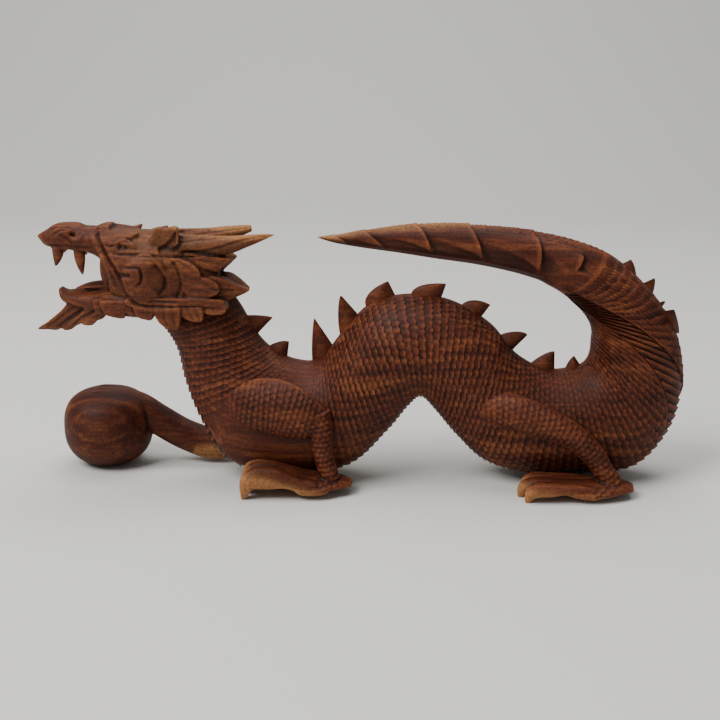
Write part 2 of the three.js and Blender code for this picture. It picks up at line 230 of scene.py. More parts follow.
def plate(outline: Rows, seat: float, levels: tuple[float, float], bevel: float = 0.5,
          bow: float = 0.8) -> Shell:
    """A carved plate, such as a leaf or a lobe: an outline in X and Z that stands out sideways.

    Its face is a low dome over the outline, and its level changes evenly from its first point to
    the point furthest from it.

    Args:
        outline: Corner points x, z in shares.
        seat: Share of the depth at which the plate starts, inside the block.
        levels: Shares of the depth that its face reaches at the first point and at the far point.
        bevel: Width in millimetres over which the rim falls away.
        bow: 0 for straight edges between the corners, 1 for a smooth curve through them.

    Returns:
        The plate's closed skin, on the near side.
    """
    corners = BLOCK.along(np.asarray(outline, float))
    count, steps = len(corners), 6
    place = np.arange(count * steps) / steps
    straight = np.stack([np.interp(place, np.arange(count + 1), np.append(column, column[0]))
                         for column in corners.T], axis=-1)
    bowed = curve(np.concatenate([corners[-1:], corners, corners[:2]]), place + 1)
    flat = straight + bow * (bowed - straight)
    root = flat[0]
    reach = flat - root
    far = reach[np.argmax(np.linalg.norm(reach, axis=1))]
    middle = flat.mean(0)
    size = np.linalg.norm(flat - middle, axis=1).mean()
    # Each ring's share of the outline, and how many bevels it lies under the face: None is the seat.
    profile = ((1.0, None), (1.0, 1.2), (1 - 0.4 * bevel / size, 0.6), (1 - bevel / size, 0.3),
               (0.45, 0.0), (0.15, 0.0))
    rings = []
    for share, drop in profile:
        spot = middle + (flat - middle) * share
        way = np.clip((spot - root) @ far / (far @ far), 0, 1)
        level = BLOCK.across(levels[0] + (levels[1] - levels[0]) * way)
        height = np.full(len(spot), BLOCK.across(seat)) if drop is None else level - drop * bevel
        rings.append(np.stack([spot[:, 0], -height, spot[:, 1]], axis=-1))
    return skin(np.array(rings))


def joined(shells: list[Shell]) -> Shell:
    """Several skins as one list of points and faces."""
    starts = np.cumsum([0] + [len(shell.points) for shell in shells[:-1]])
    return Shell(
        np.concatenate([shell.points for shell in shells]),
        np.concatenate([shell.quads.reshape(-1, 4) + start for shell, start in zip(shells, starts)]),
        np.concatenate([shell.triangles + start for shell, start in zip(shells, starts)]))


def add_object(name: str, data: bpy.types.ID) -> bpy.types.Object:
    """Makes an object of a mesh, light or camera and puts it into the scene."""
    made = bpy.data.objects.new(name, data)
    bpy.context.scene.collection.objects.link(made)
    return made


def fused(shells: list[Shell], grain: float) -> Shell:
    """One skin of small even squares over overlapping closed shells.

    Args:
        shells: Closed skins that overlap where they are one piece of wood.
        grain: Side of a square in millimetres.

    Returns:
        The outer skin of them all, its faces pointing out.
    """
    whole = joined(shells)
    mesh = bpy.data.meshes.new("rough")
    mesh.from_pydata(whole.points.tolist(), [], whole.faces())
    rough = add_object("rough", mesh)
    remesh = rough.modifiers.new("fuse", "REMESH")
    remesh.mode = "VOXEL"
    remesh.voxel_size = grain
    result = bpy.data.meshes.new_from_object(rough.evaluated_get(bpy.context.evaluated_depsgraph_get()))
    points = np.zeros(len(result.vertices) * 3)
    result.vertices.foreach_get("co", points)
    quads = np.zeros(len(result.loops), np.int32)
    result.loops.foreach_get("vertex_index", quads)
    bpy.data.objects.remove(rough)
    bpy.data.meshes.remove(mesh)
    bpy.data.meshes.remove(result)
    return Shell(points.reshape(-1, 3), quads.reshape(-1, 4), np.zeros((0, 3), int)).outward()


def point_normals(shell: Shell) -> np.ndarray:
    """Outward direction at each point: the sum of its triangles' cross products, made one long.

    Args:
        shell: The skin.

    Returns:
        One direction for each point, of shape (points, 3).
    """
    corners = shell.corners()
    a, b, c = (shell.points[corners[:, k]] for k in range(3))
    cross = np.cross(b - a, c - a)
    total = np.stack([sum(np.bincount(corners[:, k], cross[:, axis], len(shell.points))
                          for k in range(3)) for axis in range(3)], axis=-1)
    return unit(total)


def neighbour_mean(shell: Shell, values: np.ndarray) -> np.ndarray:
    """Mean of the values over each point's neighbours along the faces' edges.

    Args:
        shell: The skin.
        values: A value or a row of values for each point.

    Returns:
        The means, in the values' own shape.
    """
    pairs = [shell.quads[:, [k, (k + 1) % 4]] for k in range(4)]
    pairs += [shell.triangles[:, [k, (k + 1) % 3]] for k in range(3)]
    edges = np.concatenate(pairs).astype(int)
    count = len(shell.points)
    degree = np.maximum(np.bincount(edges.ravel(), minlength=count), 1)
    table = values.reshape(count, -1)
    mean = np.stack([
        (np.bincount(edges[:, 0], column[edges[:, 1]], count)
         + np.bincount(edges[:, 1], column[edges[:, 0]], count)) / degree
        for column in table.T], axis=-1)
    return mean.reshape(values.shape)


def soften(shell: Shell, rounds: int) -> None:
    """Rounds the small steps off a skin.

    Each point goes half way to its neighbours' mean, then back out by a little more than half, so
    that the form doesn't shrink.

    Args:
        shell: The skin, whose points are moved.
        rounds: How often that is done.
    """
    for _ in range(rounds):
        for share in (0.5, -0.52):
            shell.points += share * (neighbour_mean(shell, shell.points) - shell.points)


def hollows(shell: Shell, rounds: int) -> np.ndarray:
    """How far each point lies in a hollow.

    It is the distance from the point out to its neighbours' mean along the normal, averaged over
    the neighbourhood.

    Args:
        shell: The skin.
        rounds: How often the distances are averaged.

    Returns:
        A distance in millimetres for each point, positive in a groove.
    """
    outward = point_normals(shell)
    depth = np.einsum("ij,ij->i", neighbour_mean(shell, shell.points) - shell.points, outward)
    for _ in range(rounds):
        depth = neighbour_mean(shell, depth)
    return depth


class Profile(Enum):
    """The shape that a carved line leaves."""

    GROOVE = "a V cut"
    STEP = "a cut whose left side is sunk and runs back up to the surface"


@dataclass(frozen=True)
class Cut:
    """A line carved in the side of the block.

    Attributes:
        line: Points x, z in shares of the length, smoothed into a curve.
        width: Half the groove's width, or the distance over which a step runs out, in millimetres.
        depth: Depth in millimetres; a negative one raises a ridge.
        profile: The shape that it leaves.
        run_out: Share of the line over which the tool comes in and out at each end.
        ramp: Width of a step's wall, in millimetres.
    """

    line: Rows
    width: float = 0.9
    depth: float = 0.7
    profile: Profile = Profile.GROOVE
    run_out: float = 0.08
    ramp: float = 0.45

    def heights(self, flat: np.ndarray) -> np.ndarray:
        """Height that the cut adds.

        A groove rises evenly with the distance from the line and keeps about a third of its depth
        at the ends. A step drops at the line and runs back up exponentially on its left side.

        Args:
            flat: Points x, z in millimetres.

        Returns:
            The height at each point, in millimetres.
        """
        signed, _, way = beside(smooth_path(self.line, 5), flat)
        away = np.abs(signed)
        ends = np.clip(np.minimum(way, 1 - way) / self.run_out, 0, 1)
        if self.profile is Profile.GROOVE:
            return -self.depth * np.clip(1 - away / self.width, 0, 1) * (0.35 + 0.65 * ends)
        wall = smoothstep(signed, -self.ramp / 2, self.ramp)
        return -self.depth * ends * wall * np.exp(-away / self.width)


def beside(path: np.ndarray, flat: np.ndarray) -> tuple[np.ndarray, np.ndarray, np.ndarray]:
    """Where points lie beside a path.

    The nearest point on each straight piece gives the distance, and the sign of a cross product
    gives the side.

    Args:
        path: The path's corners, in millimetres.
        flat: The points x, z in millimetres.

    Returns:
        Distance, positive to the left of the path, the length along it and the share of its length.
    """
    best = np.full(len(flat), np.inf)
    signed = np.zeros(len(flat))
    along = np.zeros(len(flat))
    walked = 0.0
    for start, end in zip(path[:-1], path[1:]):
        step = end - start
        size = max(math.hypot(*step), 1e-9)
        offset = flat - start
        t = np.clip(offset @ step / size**2, 0, 1)
        gap = np.linalg.norm(offset - t[:, None] * step, axis=1)
        nearer = gap < best
        best = np.where(nearer, gap, best)
        left = step[0] * offset[:, 1] - step[1] * offset[:, 0] > 0
        signed = np.where(nearer, np.where(left, gap, -gap), signed)
        along = np.where(nearer, walked + t * size, along)
        walked += size
    return signed, along, along / walked


def chance(row: np.ndarray, column: np.ndarray) -> np.ndarray:
    """A number from -1 to 1 that differs from one scale to the next: the fractional part of a large
    multiple of a sine of the scale's numbers."""
    value = np.sin(row * 12.9898 + column * 78.233) * 43758.5453
    return 2 * (value - np.floor(value)) - 1


@dataclass(frozen=True)
class ScaleCut:
    """The profile of one carved scale.

    Attributes:
        lift: Height of its free edge over the next scale, in millimetres.
        crown: How far its sides lie under its middle, in millimetres.
        scallop: How far its free edge bows out, in scale lengths.
        wander: How much one hand-cut scale differs from the next, as a share of its height.
    """

    lift: float = 0.5
    crown: float = 0.27
    scallop: float = 0.3
    wander: float = 0.35

    def bow(self, across: np.ndarray) -> np.ndarray:
        """How far the free edge stands out at a share across the scale, from -1 to 1."""
        return self.scallop * (np.sqrt(1 - 0.93 * across**2) - 0.6)

    def height(self, share: np.ndarray, across: np.ndarray) -> np.ndarray:
        """Height at a share of the scale's length, never over the plain form."""
        fall = self.crown * across**2 * (0.35 + 0.65 * share)
        return self.lift * (share**0.8 - 1) - fall


@dataclass(frozen=True)
class LimbScales:
    """Scales over a limb, in rows along its middle line.

    Attributes:
        line: The limb's middle line x, z, in shares of the length.
        half: Half the limb's height in shares, to which the scales reach.
        length: Length of a scale along the limb, in millimetres.
        width: Width of a scale, in millimetres.
        cut: The scales' profile.
        run_out: Share of the middle line over which they fade in and out at each end.
    """

    line: Rows
    half: float
    length: float = 2.5
    width: float = 2.7
    cut: ScaleCut = ScaleCut(0.6, 0.3)
    run_out: float = 0.06

    def heights(self, flat: np.ndarray) -> np.ndarray:
        """Height that the scales add.

        A row's free edge lies at a whole number of scale lengths plus the bow, every second row is
        shifted by half a scale, and a point belongs to the row whose free edge is the next one.

        Args:
            flat: Points x, z in millimetres.

        Returns:
            The height at each point, in millimetres.
        """
        signed, along, way = beside(smooth_path(self.line, 4), flat)
        place = along / self.length
        total = np.zeros(len(flat))
        for step in (-1, 0, 1):
            row = np.floor(place) + step
            across = 2 * ((signed / self.width + 0.5 * (row % 2)) % 1) - 1
            before = 2 * ((signed / self.width + 0.5 * ((row + 1) % 2)) % 1) - 1
            start = row + self.cut.bow(before)
            end = row + 1 + self.cut.bow(across)
            share = np.clip((place - start) / np.maximum(end - start, 0.2), 0, 1)
            inside = (place >= start) & (place < end)
            total = np.where(inside, self.cut.height(share, across), total)
        reach = BLOCK.along(self.half)
        fade = 1 - smoothstep(np.abs(signed), 0.8 * reach, reach)
        return total * fade * np.clip(np.minimum(way, 1 - way) / self.run_out, 0, 1)


def carve(shell: Shell, cuts: list[Cut | LimbScales], facing: float = 0.25) -> None:
    """Carves both sides of a skin, square to its surface where that faces sideways.

    Args:
        shell: The skin, whose points are moved.
        cuts: What is carved.
        facing: How squarely the surface has to face sideways before the carving starts, 0 to 1.
    """
    outward = point_normals(shell)
    flat = shell.points[:, [0, 2]]
    height = sum(cut.heights(flat) for cut in cuts)
    weight = smoothstep(np.abs(outward[:, 1]), facing, facing + 0.3)
    shell.points += outward * (height * weight)[:, None]


@dataclass(frozen=True)
class OuterWood:
    """Where the block's paler outer wood lies.

    Rows are x and z in shares of the length: the wood over the top line and under the foot line is
    pale, and it fades into the dark heartwood over the given height in millimetres.
    """

    top: Rows = ((-500, 412), (-300, 412), (-272, 398), (-250, 388), (-200, 382), (-120, 380),
                 (-105, 405), (-75, 372), (-45, 374), (0, 387), (70, 395), (160, 399), (260, 396), (500, 404))
    foot: Rows = ((-500, -12), (-290, -8), (-268, 34), (-210, 42), (-182, 46), (-140, 40), (-105, 27),
                  (-60, 14), (-10, 8), (200, 4), (240, 26), (262, 22), (330, 14), (412, 8))
    fade: float = 3.0

    def share(self, points: np.ndarray) -> np.ndarray:
        """How pale the wood is, by the height over the top line or under the foot line.

        Args:
            points: The points, in millimetres.

        Returns:
            A share from 0 to 1 for each point.
        """
        x = BLOCK.shares(points[:, 0])
        top, foot = (BLOCK.along(np.interp(x, *np.array(line, float).T))
                     for line in (self.top, self.foot))
        over = smoothstep(points[:, 2], top - self.fade, top + self.fade)
        under = 1 - smoothstep(points[:, 2], foot - self.fade, foot + self.fade)
        return np.maximum(over, under)


def make_piece(name: str, shell: Shell, stain_and_painted_shade: np.ndarray, pale: np.ndarray) -> bpy.types.Object:
    """Makes a skin an object at the origin that rides on the carving's body.

    Args:
        name: The piece's name.
        shell: Its skin, in millimetres.
        stain_and_painted_shade: How much dark finish has gathered at each point, from -1 on worn edges to 1,
            with painted shade added on the tail's lower facets and on the far foreleg and pearl.
        pale: How much of the block's outer wood shows at each point, from 0 to 1.

    Returns:
        The piece, without its material.
    """
    mesh = bpy.data.meshes.new(name)
    mesh.from_pydata(BLOCK.metres(shell.points).tolist(), [], shell.faces())
    mesh.validate()
    mesh.shade_smooth()
    mesh.set_sharp_from_angle(angle=math.radians(62))
    # The stain attribute holds real stain and wear, plus painted shade on the tail's locks and the far
    # foreleg.
    for label, values in (("stain_and_painted_shade", stain_and_painted_shade), ("outer_wood", pale)):
        attribute = mesh.attributes.new(label, "FLOAT", "POINT")
        attribute.data.foreach_set("value", np.asarray(values, np.float32))
    piece = add_object(name, mesh)
    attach(piece, "root")
    log.info("%s: %d triangles", name, len(shell.corners()))
    return piece


@dataclass(frozen=True)
class Ladder:
    """The body's form: rungs from inside the head to the tail's tip.

    A rung is the belly-side point x, z, the back-side point x, z, the half width, and how far in
    degrees the carving has turned about the body.
    """

    rungs: Rows = (
        (-336, 281, -234, 343, 150, 0), (-304, 244, -189, 285, 198, 0), (-285, 211, -160, 233, 221, 0),
        (-275, 161, -136, 207, 236, 0), (-257, 105, -111, 193, 250, 0), (-219, 34, -91, 188, 258, 0),
        (-156, 6, -79, 187, 261, 0), (-88, 4, -68, 190, 261, 0), (-13, 21, -53, 201, 257, 0),
        (44, 76, -20, 244, 250, 0), (75, 115, 20, 281, 244, 0), (94, 129, 79, 293, 240, 0),
        (116, 107, 140, 282, 244, 0), (150, 66, 198, 247, 250, 0), (197, 24, 240, 199, 257, 0),
        (271, 4, 287, 175, 261, 0), (358, 4, 326, 177, 258, 0), (435, 18, 348, 187, 250, 0),
        (483, 76, 356, 211, 240, 7), (500, 146, 353, 241, 225, 44), (489, 222, 341, 263, 207, 108),
        (457, 281, 320, 283, 186, 150), (410, 329, 286, 306, 164, 172), (354, 365, 237, 323, 143, 180),
        (270, 388, 173, 337, 125, 180), (177, 399, 109, 346, 110, 180), (96, 401, 53, 355, 92, 180),
        (18, 393, 0, 363, 62, 180), (-33, 385, -36, 370, 32, 180), (-66, 381, -66, 379.6, 4, 180),
    )
    thinnest: float = 2.0

    def point(self, place: np.ndarray, turn: np.ndarray, height: np.ndarray,
              swell: np.ndarray) -> np.ndarray:
        """Points of the body.

        The middle of the rung, plus half the rung times the cosine of the angle, less the half width
        across times its sine. The angle is the turn less the rung's own.

        Args:
            place: Place on the ladder.
            turn: Degrees about the body: 0 on the back, 90 near flank, 180 belly.
            height: Height over the plain form, in millimetres.
            swell: The section's reach there, 1 on the plain oval.

        Returns:
            The points in millimetres, in one more dimension.
        """
        place, turn, height, swell = np.broadcast_arrays(place, turn, height, swell)
        values = curve(self.rungs, place)
        zero = np.zeros_like(place)
        belly = BLOCK.points(np.stack([values[..., 0], zero, values[..., 1]], axis=-1))
        back = BLOCK.points(np.stack([values[..., 2], zero, values[..., 3]], axis=-1))
        broad = BLOCK.across(np.maximum(values[..., 4], self.thinnest))
        angle = np.radians(turn - values[..., 5])
        reach = (back - belly) / 2
        ray = reach * np.cos(angle)[..., None]
        ray[..., 1] -= broad * np.sin(angle)
        size = np.maximum(np.linalg.norm(ray, axis=-1), 0.3)
        return (belly + back) / 2 + ray * (swell + height / size)[..., None]

    def lengths(self, place: np.ndarray) -> np.ndarray:
        """Distance along the body's middle from the first place to each, in millimetres."""
        values = curve(self.rungs, place)
        middle = BLOCK.along((values[:, :2] + values[:, 2:4]) / 2)
        return np.concatenate([[0], np.cumsum(np.linalg.norm(np.diff(middle, axis=0), axis=1))])


@dataclass(frozen=True)
class Locks:
    """The locks on the tail's last stretch.

    Attributes:
        steps: Places on the ladder where a lock's thick end is cut off.
        rise: Height of that cut in millimetres.
        crest_turn: Degrees from the tail's lower edge to the crest at a lock's thin end, and how
            many fewer they are at its cut end.
        first_length: Length of the first lock, in rungs.
        lean_from: Place on the ladder where the sections start to lean over.
        lean_most: How far they lean, in rungs, at the second cut.
        lean_fade: How much less they lean a rung further on.
        end: The tip's place on the ladder.
        sizes: Place on the ladder and height of the locks there, as a share of the rise.
        notch_turns: Degrees from the lower edge between which the first cut sets in and runs out.
        notch_places: Places between which that notch widens to the whole lock.
        facet_places: Places between which the painted shade on the lower facet sets in.
        foot_turns: Degrees between which the painted shade at a cut's foot sets in and runs out.
        foot_places: Places between which it sets in along the tail.
    """

    steps: tuple[float, ...] = (22.62, 23.4, 24.55, 25.6, 26.75, 27.8)
    rise: float = 2.6
    crest_turn: tuple[float, float] = (116, 45)
    first_length: float = 1.1
    lean_from: float = 19.5
    lean_most: float = 0.72
    lean_fade: float = 0.075
    end: float = 29.0
    sizes: Rows = ((22.0, 0.0), (22.6, 1.2), (23.4, 1.0), (26.0, 0.85), (28.0, 0.45), (29.0, 0.1))
    notch_turns: tuple[float, float, float, float] = (92, 103, 122, 134)
    notch_places: tuple[float, float] = (22.65, 23.3)
    facet_places: tuple[float, float] = (22.4, 23.4)
    foot_turns: tuple[float, float, float, float] = (80, 95, 135, 160)
    foot_places: tuple[float, float] = (21.9, 22.5)

    def lean(self, place: np.ndarray) -> np.ndarray:
        """How far a section leans at a place on the ladder."""
        grown = smoothstep(place, self.lean_from, self.steps[1])
        return -grown * (self.lean_most - self.lean_fade * np.maximum(place - self.steps[1], 0))

    def share(self, place: np.ndarray) -> np.ndarray:
        """The share of a lock that lies between a place and its thin end: 1 at the cut end."""
        cuts = np.array((self.steps[0] - self.first_length,) + self.steps + (self.end,))
        index = np.clip(np.searchsorted(cuts, place, side="right") - 1, 0, len(cuts) - 2)
        return np.clip((cuts[index + 1] - place) / (cuts[index + 1] - cuts[index]), 0, 1)

    def band(self, angle: np.ndarray, turns: tuple[float, float, float, float]) -> np.ndarray:
        """1 between the middle two of four turns, 0 outside them all."""
        return smoothstep(angle, *turns[:2]) * (1 - smoothstep(angle, *turns[2:]))

    def crest(self, share: np.ndarray) -> np.ndarray:
        """Degrees from the tail's lower edge to the crest, at a share of the lock."""
        return self.crest_turn[0] - self.crest_turn[1] * share

    def shade(self, place: np.ndarray, angle: np.ndarray) -> np.ndarray:
        """Painted shade at the foot of each cut, as if in the cut's shadow, and on the facet under the crest,
        which faces down away from the light.

        Args:
            place: Place on the ladder.
            angle: Degrees from the tail's lower edge, 180 at its upper edge, on either side.

        Returns:
            The painted shade, from 0 to 1.
        """
        share = self.share(place)
        # Painted shade: the lower facet is darkened as if turned from the light, and each cut's foot as if in
        # its shadow.
        under = smoothstep(self.crest(share) - angle, -6, 16) * smoothstep(place, *self.facet_places)
        foot = (1 - smoothstep(share, 0, 0.35)) * self.band(angle, self.foot_turns)
        return np.maximum(0.5 * under, 0.55 * foot * smoothstep(place, *self.foot_places))

    def height(self, place: np.ndarray, angle: np.ndarray) -> np.ndarray:
        """Height of the locks.

        A lock is tall at its cut end and runs out to nothing at the next cut. A crest winds from the
        tail's upper edge at its thin end to the flank's middle at its cut end: above the crest the
        wood slopes gently up to the edge, below it falls steeply to a plain lower facet. The first
        lock's cut is only a notch in the middle of the flank.

        Args:
            place: Place on the ladder.
            angle: Degrees from the tail's lower edge, 180 at its upper edge, on either side.

        Returns:
            The height over the plain form, in millimetres.
        """
        share = self.share(place)
        crest = self.crest(share)
        above = np.clip((angle - crest) / (178 - crest), 0, 1)
        below = np.maximum(crest - angle, 0) / 12
        ridge = share**0.8 * np.where(angle > crest, 1 - 0.75 * above**1.3, np.exp(-below**1.3))
        sunk = np.where(angle > crest, 0.75 - 0.72 * above, 0.4 + 0.35 * smoothstep(angle, 0, 30))
        size = np.interp(place, *np.array(self.sizes).T)
        notch = self.band(angle, self.notch_turns)
        size = size * (notch + (1 - notch) * smoothstep(place, *self.notch_places))
        return size * self.rise * (ridge - sunk)


@dataclass
class Body:
    """The scaled body with its belly band and the tail.

    Places are on the ladder, turns are in degrees from the back.

    Attributes:
        ladder: The body's form.
        locks: The tail's locks.
        cut: The profile of a scale.
        pitch: Length of a scale along the flank in millimetres, on the neck and elsewhere.
        neck_end: Places between which the one length turns into the other.
        sizes: Place, and height of the scales there as a share of the profile's.
        bows: Place, and how far their free edges bow out there as a share of the profile's.
        columns: Scales from the back to the belly's edge.
        samples: Grid lines across a scale.
        plate_lift: Height of a belly plate's free edge, in millimetres.
        first_turn: Turn at which the first column of scales starts.
        edge_gap: Degrees from the last column to the belly's edge.
        edge_turn: Turn at which the flank meets the belly band.
        edge_depth: Depth of the line cut there, in millimetres.
        edge_fade: Places between which that line runs out.
        scaled_end: Place where the scales end.
        seam: Place where the tail's own piece starts.
        tooth: Length and width of a tooth on the tail's ridge, in millimetres and degrees.
        chest: Places between which the lower flank turns smooth, and scaled again.
    """

    ladder: Ladder
    locks: Locks
    cut: ScaleCut = ScaleCut()
    pitch: tuple[float, float] = (2.75, 2.9)
    neck_end: tuple[float, float] = (3.5, 6)
    sizes: Rows = ((0, 0.7), (2.5, 0.8), (5, 1), (20.5, 1), (22.2, 0.8))
    bows: Rows = ((0, 0.35), (3, 0.5), (6, 1.0))
    columns: int = 17
    samples: int = 5
    plate_lift: float = 1.05
    first_turn: float = 5.0
    edge_gap: float = 2.2
    edge_turn: float = 147.0
    edge_depth: float = 0.9
    edge_fade: tuple[float, float] = (22.6, 23.6)
    scaled_end: float = 22.2
    seam: float = 22.28
    tooth: tuple[float, float] = (1.9, 9.0)
    chest: tuple[float, float, float, float] = (3.5, 4.3, 6.9, 7.5)

    def turns(self, samples: int) -> np.ndarray:
        """Grid lines round the body, in degrees, with so many lines to a scale."""
        flank = np.linspace(self.first_turn, self.edge_turn - self.edge_gap, self.columns * samples + 1)
        belly = np.linspace(self.edge_turn + 2.5, 180, 8)
        half = np.concatenate([[0, 2.5], flank, [self.edge_turn], belly])
        return np.concatenate([half, 360 - half[-2:0:-1]])

    def side_turn(self, turn: np.ndarray) -> np.ndarray:
        """The turn counted from the back on either side."""
        return np.minimum(turn, 360 - turn)

    def swell(self, turn: np.ndarray) -> np.ndarray:
        """The plain section's reach: a raised back, round flanks and a flatter, sunk belly band."""
        side, edge = self.side_turn(turn), self.edge_turn
        spots = (0, 9, 22, 48, 74, 122, edge - 4, edge + 4, 167, 180)
        reach = (1.02, 1.005, 0.995, 0.992, 1.0, 1.0, 1.0, 0.962, 0.976, 0.98)
        return np.interp(side, spots, reach)

    def rows(self) -> tuple[np.ndarray, np.ndarray]:
        """Places on the ladder at each whole number of scale lengths, and the count of rows."""
        place = np.linspace(0, self.scaled_end, 1200)
        length = self.ladder.lengths(place)
        pitch = np.interp(place, self.neck_end, self.pitch)
        steps = np.diff(length) / ((pitch[1:] + pitch[:-1]) / 2)
        number = np.concatenate([[0], np.cumsum(steps)])
        count = int(number[-1])
        return np.interp(np.arange(count + 2), number, place), count

    def room(self, marks: np.ndarray, turn: np.ndarray) -> np.ndarray:
        """How far the body's bends leave a scale its height.

        It is the distance between two rows as a share of the scale's length, at least 0.3, squared.

        Args:
            marks: The rows' places.
            turn: The grid lines' turns.

        Returns:
            Shares from 0.09 to 1, one row for each row of scales.
        """
        flat = np.zeros((len(marks), len(turn)))
        spots = self.ladder.point(marks[:, None] + flat, turn[None] + flat, flat, flat + 1)
        gap = np.linalg.norm(np.diff(spots, axis=0), axis=-1) / self.pitch[1]
        return np.clip(1.15 * gap, 0.3, 1) ** 2

    def scales(self, turn: np.ndarray) -> tuple[np.ndarray, np.ndarray]:
        """Places and heights of the grid over the scales.

        Each row of scales has four lines: its foot, two on its back and its free edge, which lies
        on the foot of the next row but higher. The free edge bows out over each scale's middle by a
        half ellipse, and every second row is shifted by half a scale. The height rises along the
        scale and falls off with the square of the distance from its middle line.

        Args:
            turn: The grid lines' turns.

        Returns:
            The places, and the heights over the plain form in millimetres.
        """
        marks, count = self.rows()
        side, first, edge_turn = self.side_turn(turn), self.first_turn, self.edge_turn
        column = (side - first) / (edge_turn - (first + self.edge_gap)) * self.columns
        on_flank = smoothstep(side, first, first + 8)
        on_flank = on_flank * (1 - smoothstep(side, edge_turn - 9, edge_turn - 2))
        on_belly = smoothstep(side, edge_turn - 1, edge_turn + 4)
        # The far side's scales take their chances from columns that the near side doesn't use.
        far_columns = np.where(turn < 180, 0, 40)[None]

        def free_edge(row: np.ndarray) -> tuple[np.ndarray, np.ndarray, np.ndarray]:
            """Where a row's free edge lies in rows, the share across a scale, and its chance."""
            shifted = column[None] + 0.5 * (row[:, None] % 2)
            across = 2 * (shifted - np.round(shifted))
            start = marks[np.clip(row, 0, count).astype(int)][:, None]
            luck = chance(row[:, None], np.round(shifted) + far_columns)
            bow = self.cut.bow(across) * np.interp(start, *np.array(self.bows).T) + 0.07 * luck
            belly_bow = 0.25 * (1 - ((180 - side) / (180 - edge_turn)) ** 2)
            return row[:, None] + 1 + bow * on_flank + belly_bow * on_belly, across, luck

        row = np.arange(count)
        edge, across, luck = free_edge(row)
        before = free_edge(row - 1)[0]
        before[0] = 0
        here = marks[:count][:, None]
        size = np.interp(here, *np.array(self.sizes).T)
        size = size * (1 + self.cut.wander * luck) * self.room(marks, turn)[:count]
        smooth_chest = (smoothstep(side, 87, 98)[None] * smoothstep(here, *self.chest[:2])
                        * (1 - smoothstep(here, *self.chest[2:])))
        places, heights = [], []
        for share in (0.0, 0.42, 0.82, 1.0):
            foot = 0.012 if share == 0 else share
            number = before + (edge - before) * foot
            places.append(np.interp(number, np.arange(len(marks)), marks))
            flank = self.cut.height(np.array(share), across) * (1 - smooth_chest)
            belly = self.plate_lift * (share**0.7 - 1)
            heights.append(size * flank * on_flank + belly * on_belly)
        shape = (count * 4, len(turn))
        return np.stack(places, axis=1).reshape(shape), np.stack(heights, axis=1).reshape(shape)

    def shell(self, place: np.ndarray, height: np.ndarray, turn: np.ndarray) -> Shell:
        """The skin over a grid, with the belly's edge cut, the tail's locks and its lean.

        Args:
            place: Places on the ladder, one row for each ring.
            height: Heights over the plain form there, in millimetres.
            turn: The grid lines' turns.

        Returns:
            The closed skin.
        """
        side = self.side_turn(turn)[None]
        edge = np.clip(1 - np.abs(side - self.edge_turn) / 2.4, 0, 1)
        height = height - self.edge_depth * edge * (1 - smoothstep(place, *self.edge_fade))
        twist = curve(self.ladder.rungs, place)[..., 5]
        angle = np.abs((turn[None] - twist + 180) % 360 - 180)
        height = height + self.locks.height(place, angle)
        shift = self.locks.lean(place) * np.cos(np.radians(turn))[None]
        leaned = np.minimum(place - shift, self.locks.end - 0.02)
        return skin(self.ladder.point(leaned, turn[None], height, self.swell(turn)[None]))

    def build(self) -> bpy.types.Object:
        """Makes the scaled body, up to the first of the tail's locks."""
        turn = self.turns(self.samples)
        place, height = self.scales(turn)
        last = np.linspace(float(place.max()) + 0.02, self.seam, 3)[:, None] + np.zeros_like(turn)[None]
        place = np.concatenate([place, last])
        height = np.concatenate([height, np.zeros_like(last)])
        shell = self.shell(place, height, turn)
        return make_piece("scaled_body", shell, stain_from(shell, 1, 0.1), np.zeros(len(shell.points)))

    def build_tail(self) -> bpy.types.Object:
        """Makes the tail's locks, with a pair of rings at each cut and a toothed ridge on top.

        A tooth is a fine scale: its height rises along it and drops at its end, and its rows run
        across the ridge with every second one shifted by half a tooth.

        Returns:
            The tail's piece.
        """
        turn = self.turns(4)
        # Rungs from ring to ring, from a cut to the ring on either side of it, and into the trunk.
        spacing, cut, overlap = 0.034, 0.016, 0.1
        knots = self.locks.steps[1:] + (self.locks.end - 0.03,)
        lines, here = [], self.seam - overlap
        for knot in knots:
            lines.append(np.linspace(here, knot - cut, max(int((knot - here) / spacing), 2)))
            here = knot + cut
        place = np.concatenate(lines)[:, None] + np.zeros_like(turn)[None]
        side = self.side_turn(turn)[None]
        marks = lines[0][0] + np.linspace(0, 7, 200)
        walked = np.interp(place, marks, self.ladder.lengths(marks))
        column = side / self.tooth[1]
        tooth = (walked / self.tooth[0] + 0.5 * (np.floor(column) % 2)) % 1
        ridge = (1 - smoothstep(side, 33, 42)) * (1 - smoothstep(place, 25.5, 27.5))
        height = ridge * (0.75 * (tooth - 0.45) - 0.3 * np.abs(2 * (column % 1) - 1))
        shell = self.shell(place, height, turn)
        angle = 180 - side + np.zeros_like(place)
        # The locks' painted shade is added to the stain from the hollows.
        stain_and_painted_shade = stain_from(shell, 2, 0.05) + np.append(self.locks.shade(place, angle).ravel(), [0, 0])
        return make_piece("tail_locks", shell, stain_and_painted_shade, OuterWood().share(shell.points))


def stain_from(shell: Shell, rounds: int, full: float) -> np.ndarray:
    """Stain from -1 on worn edges to 1 in grooves, where the hollow is as deep as full."""
    return np.clip(hollows(shell, rounds) / full, -1, 1)


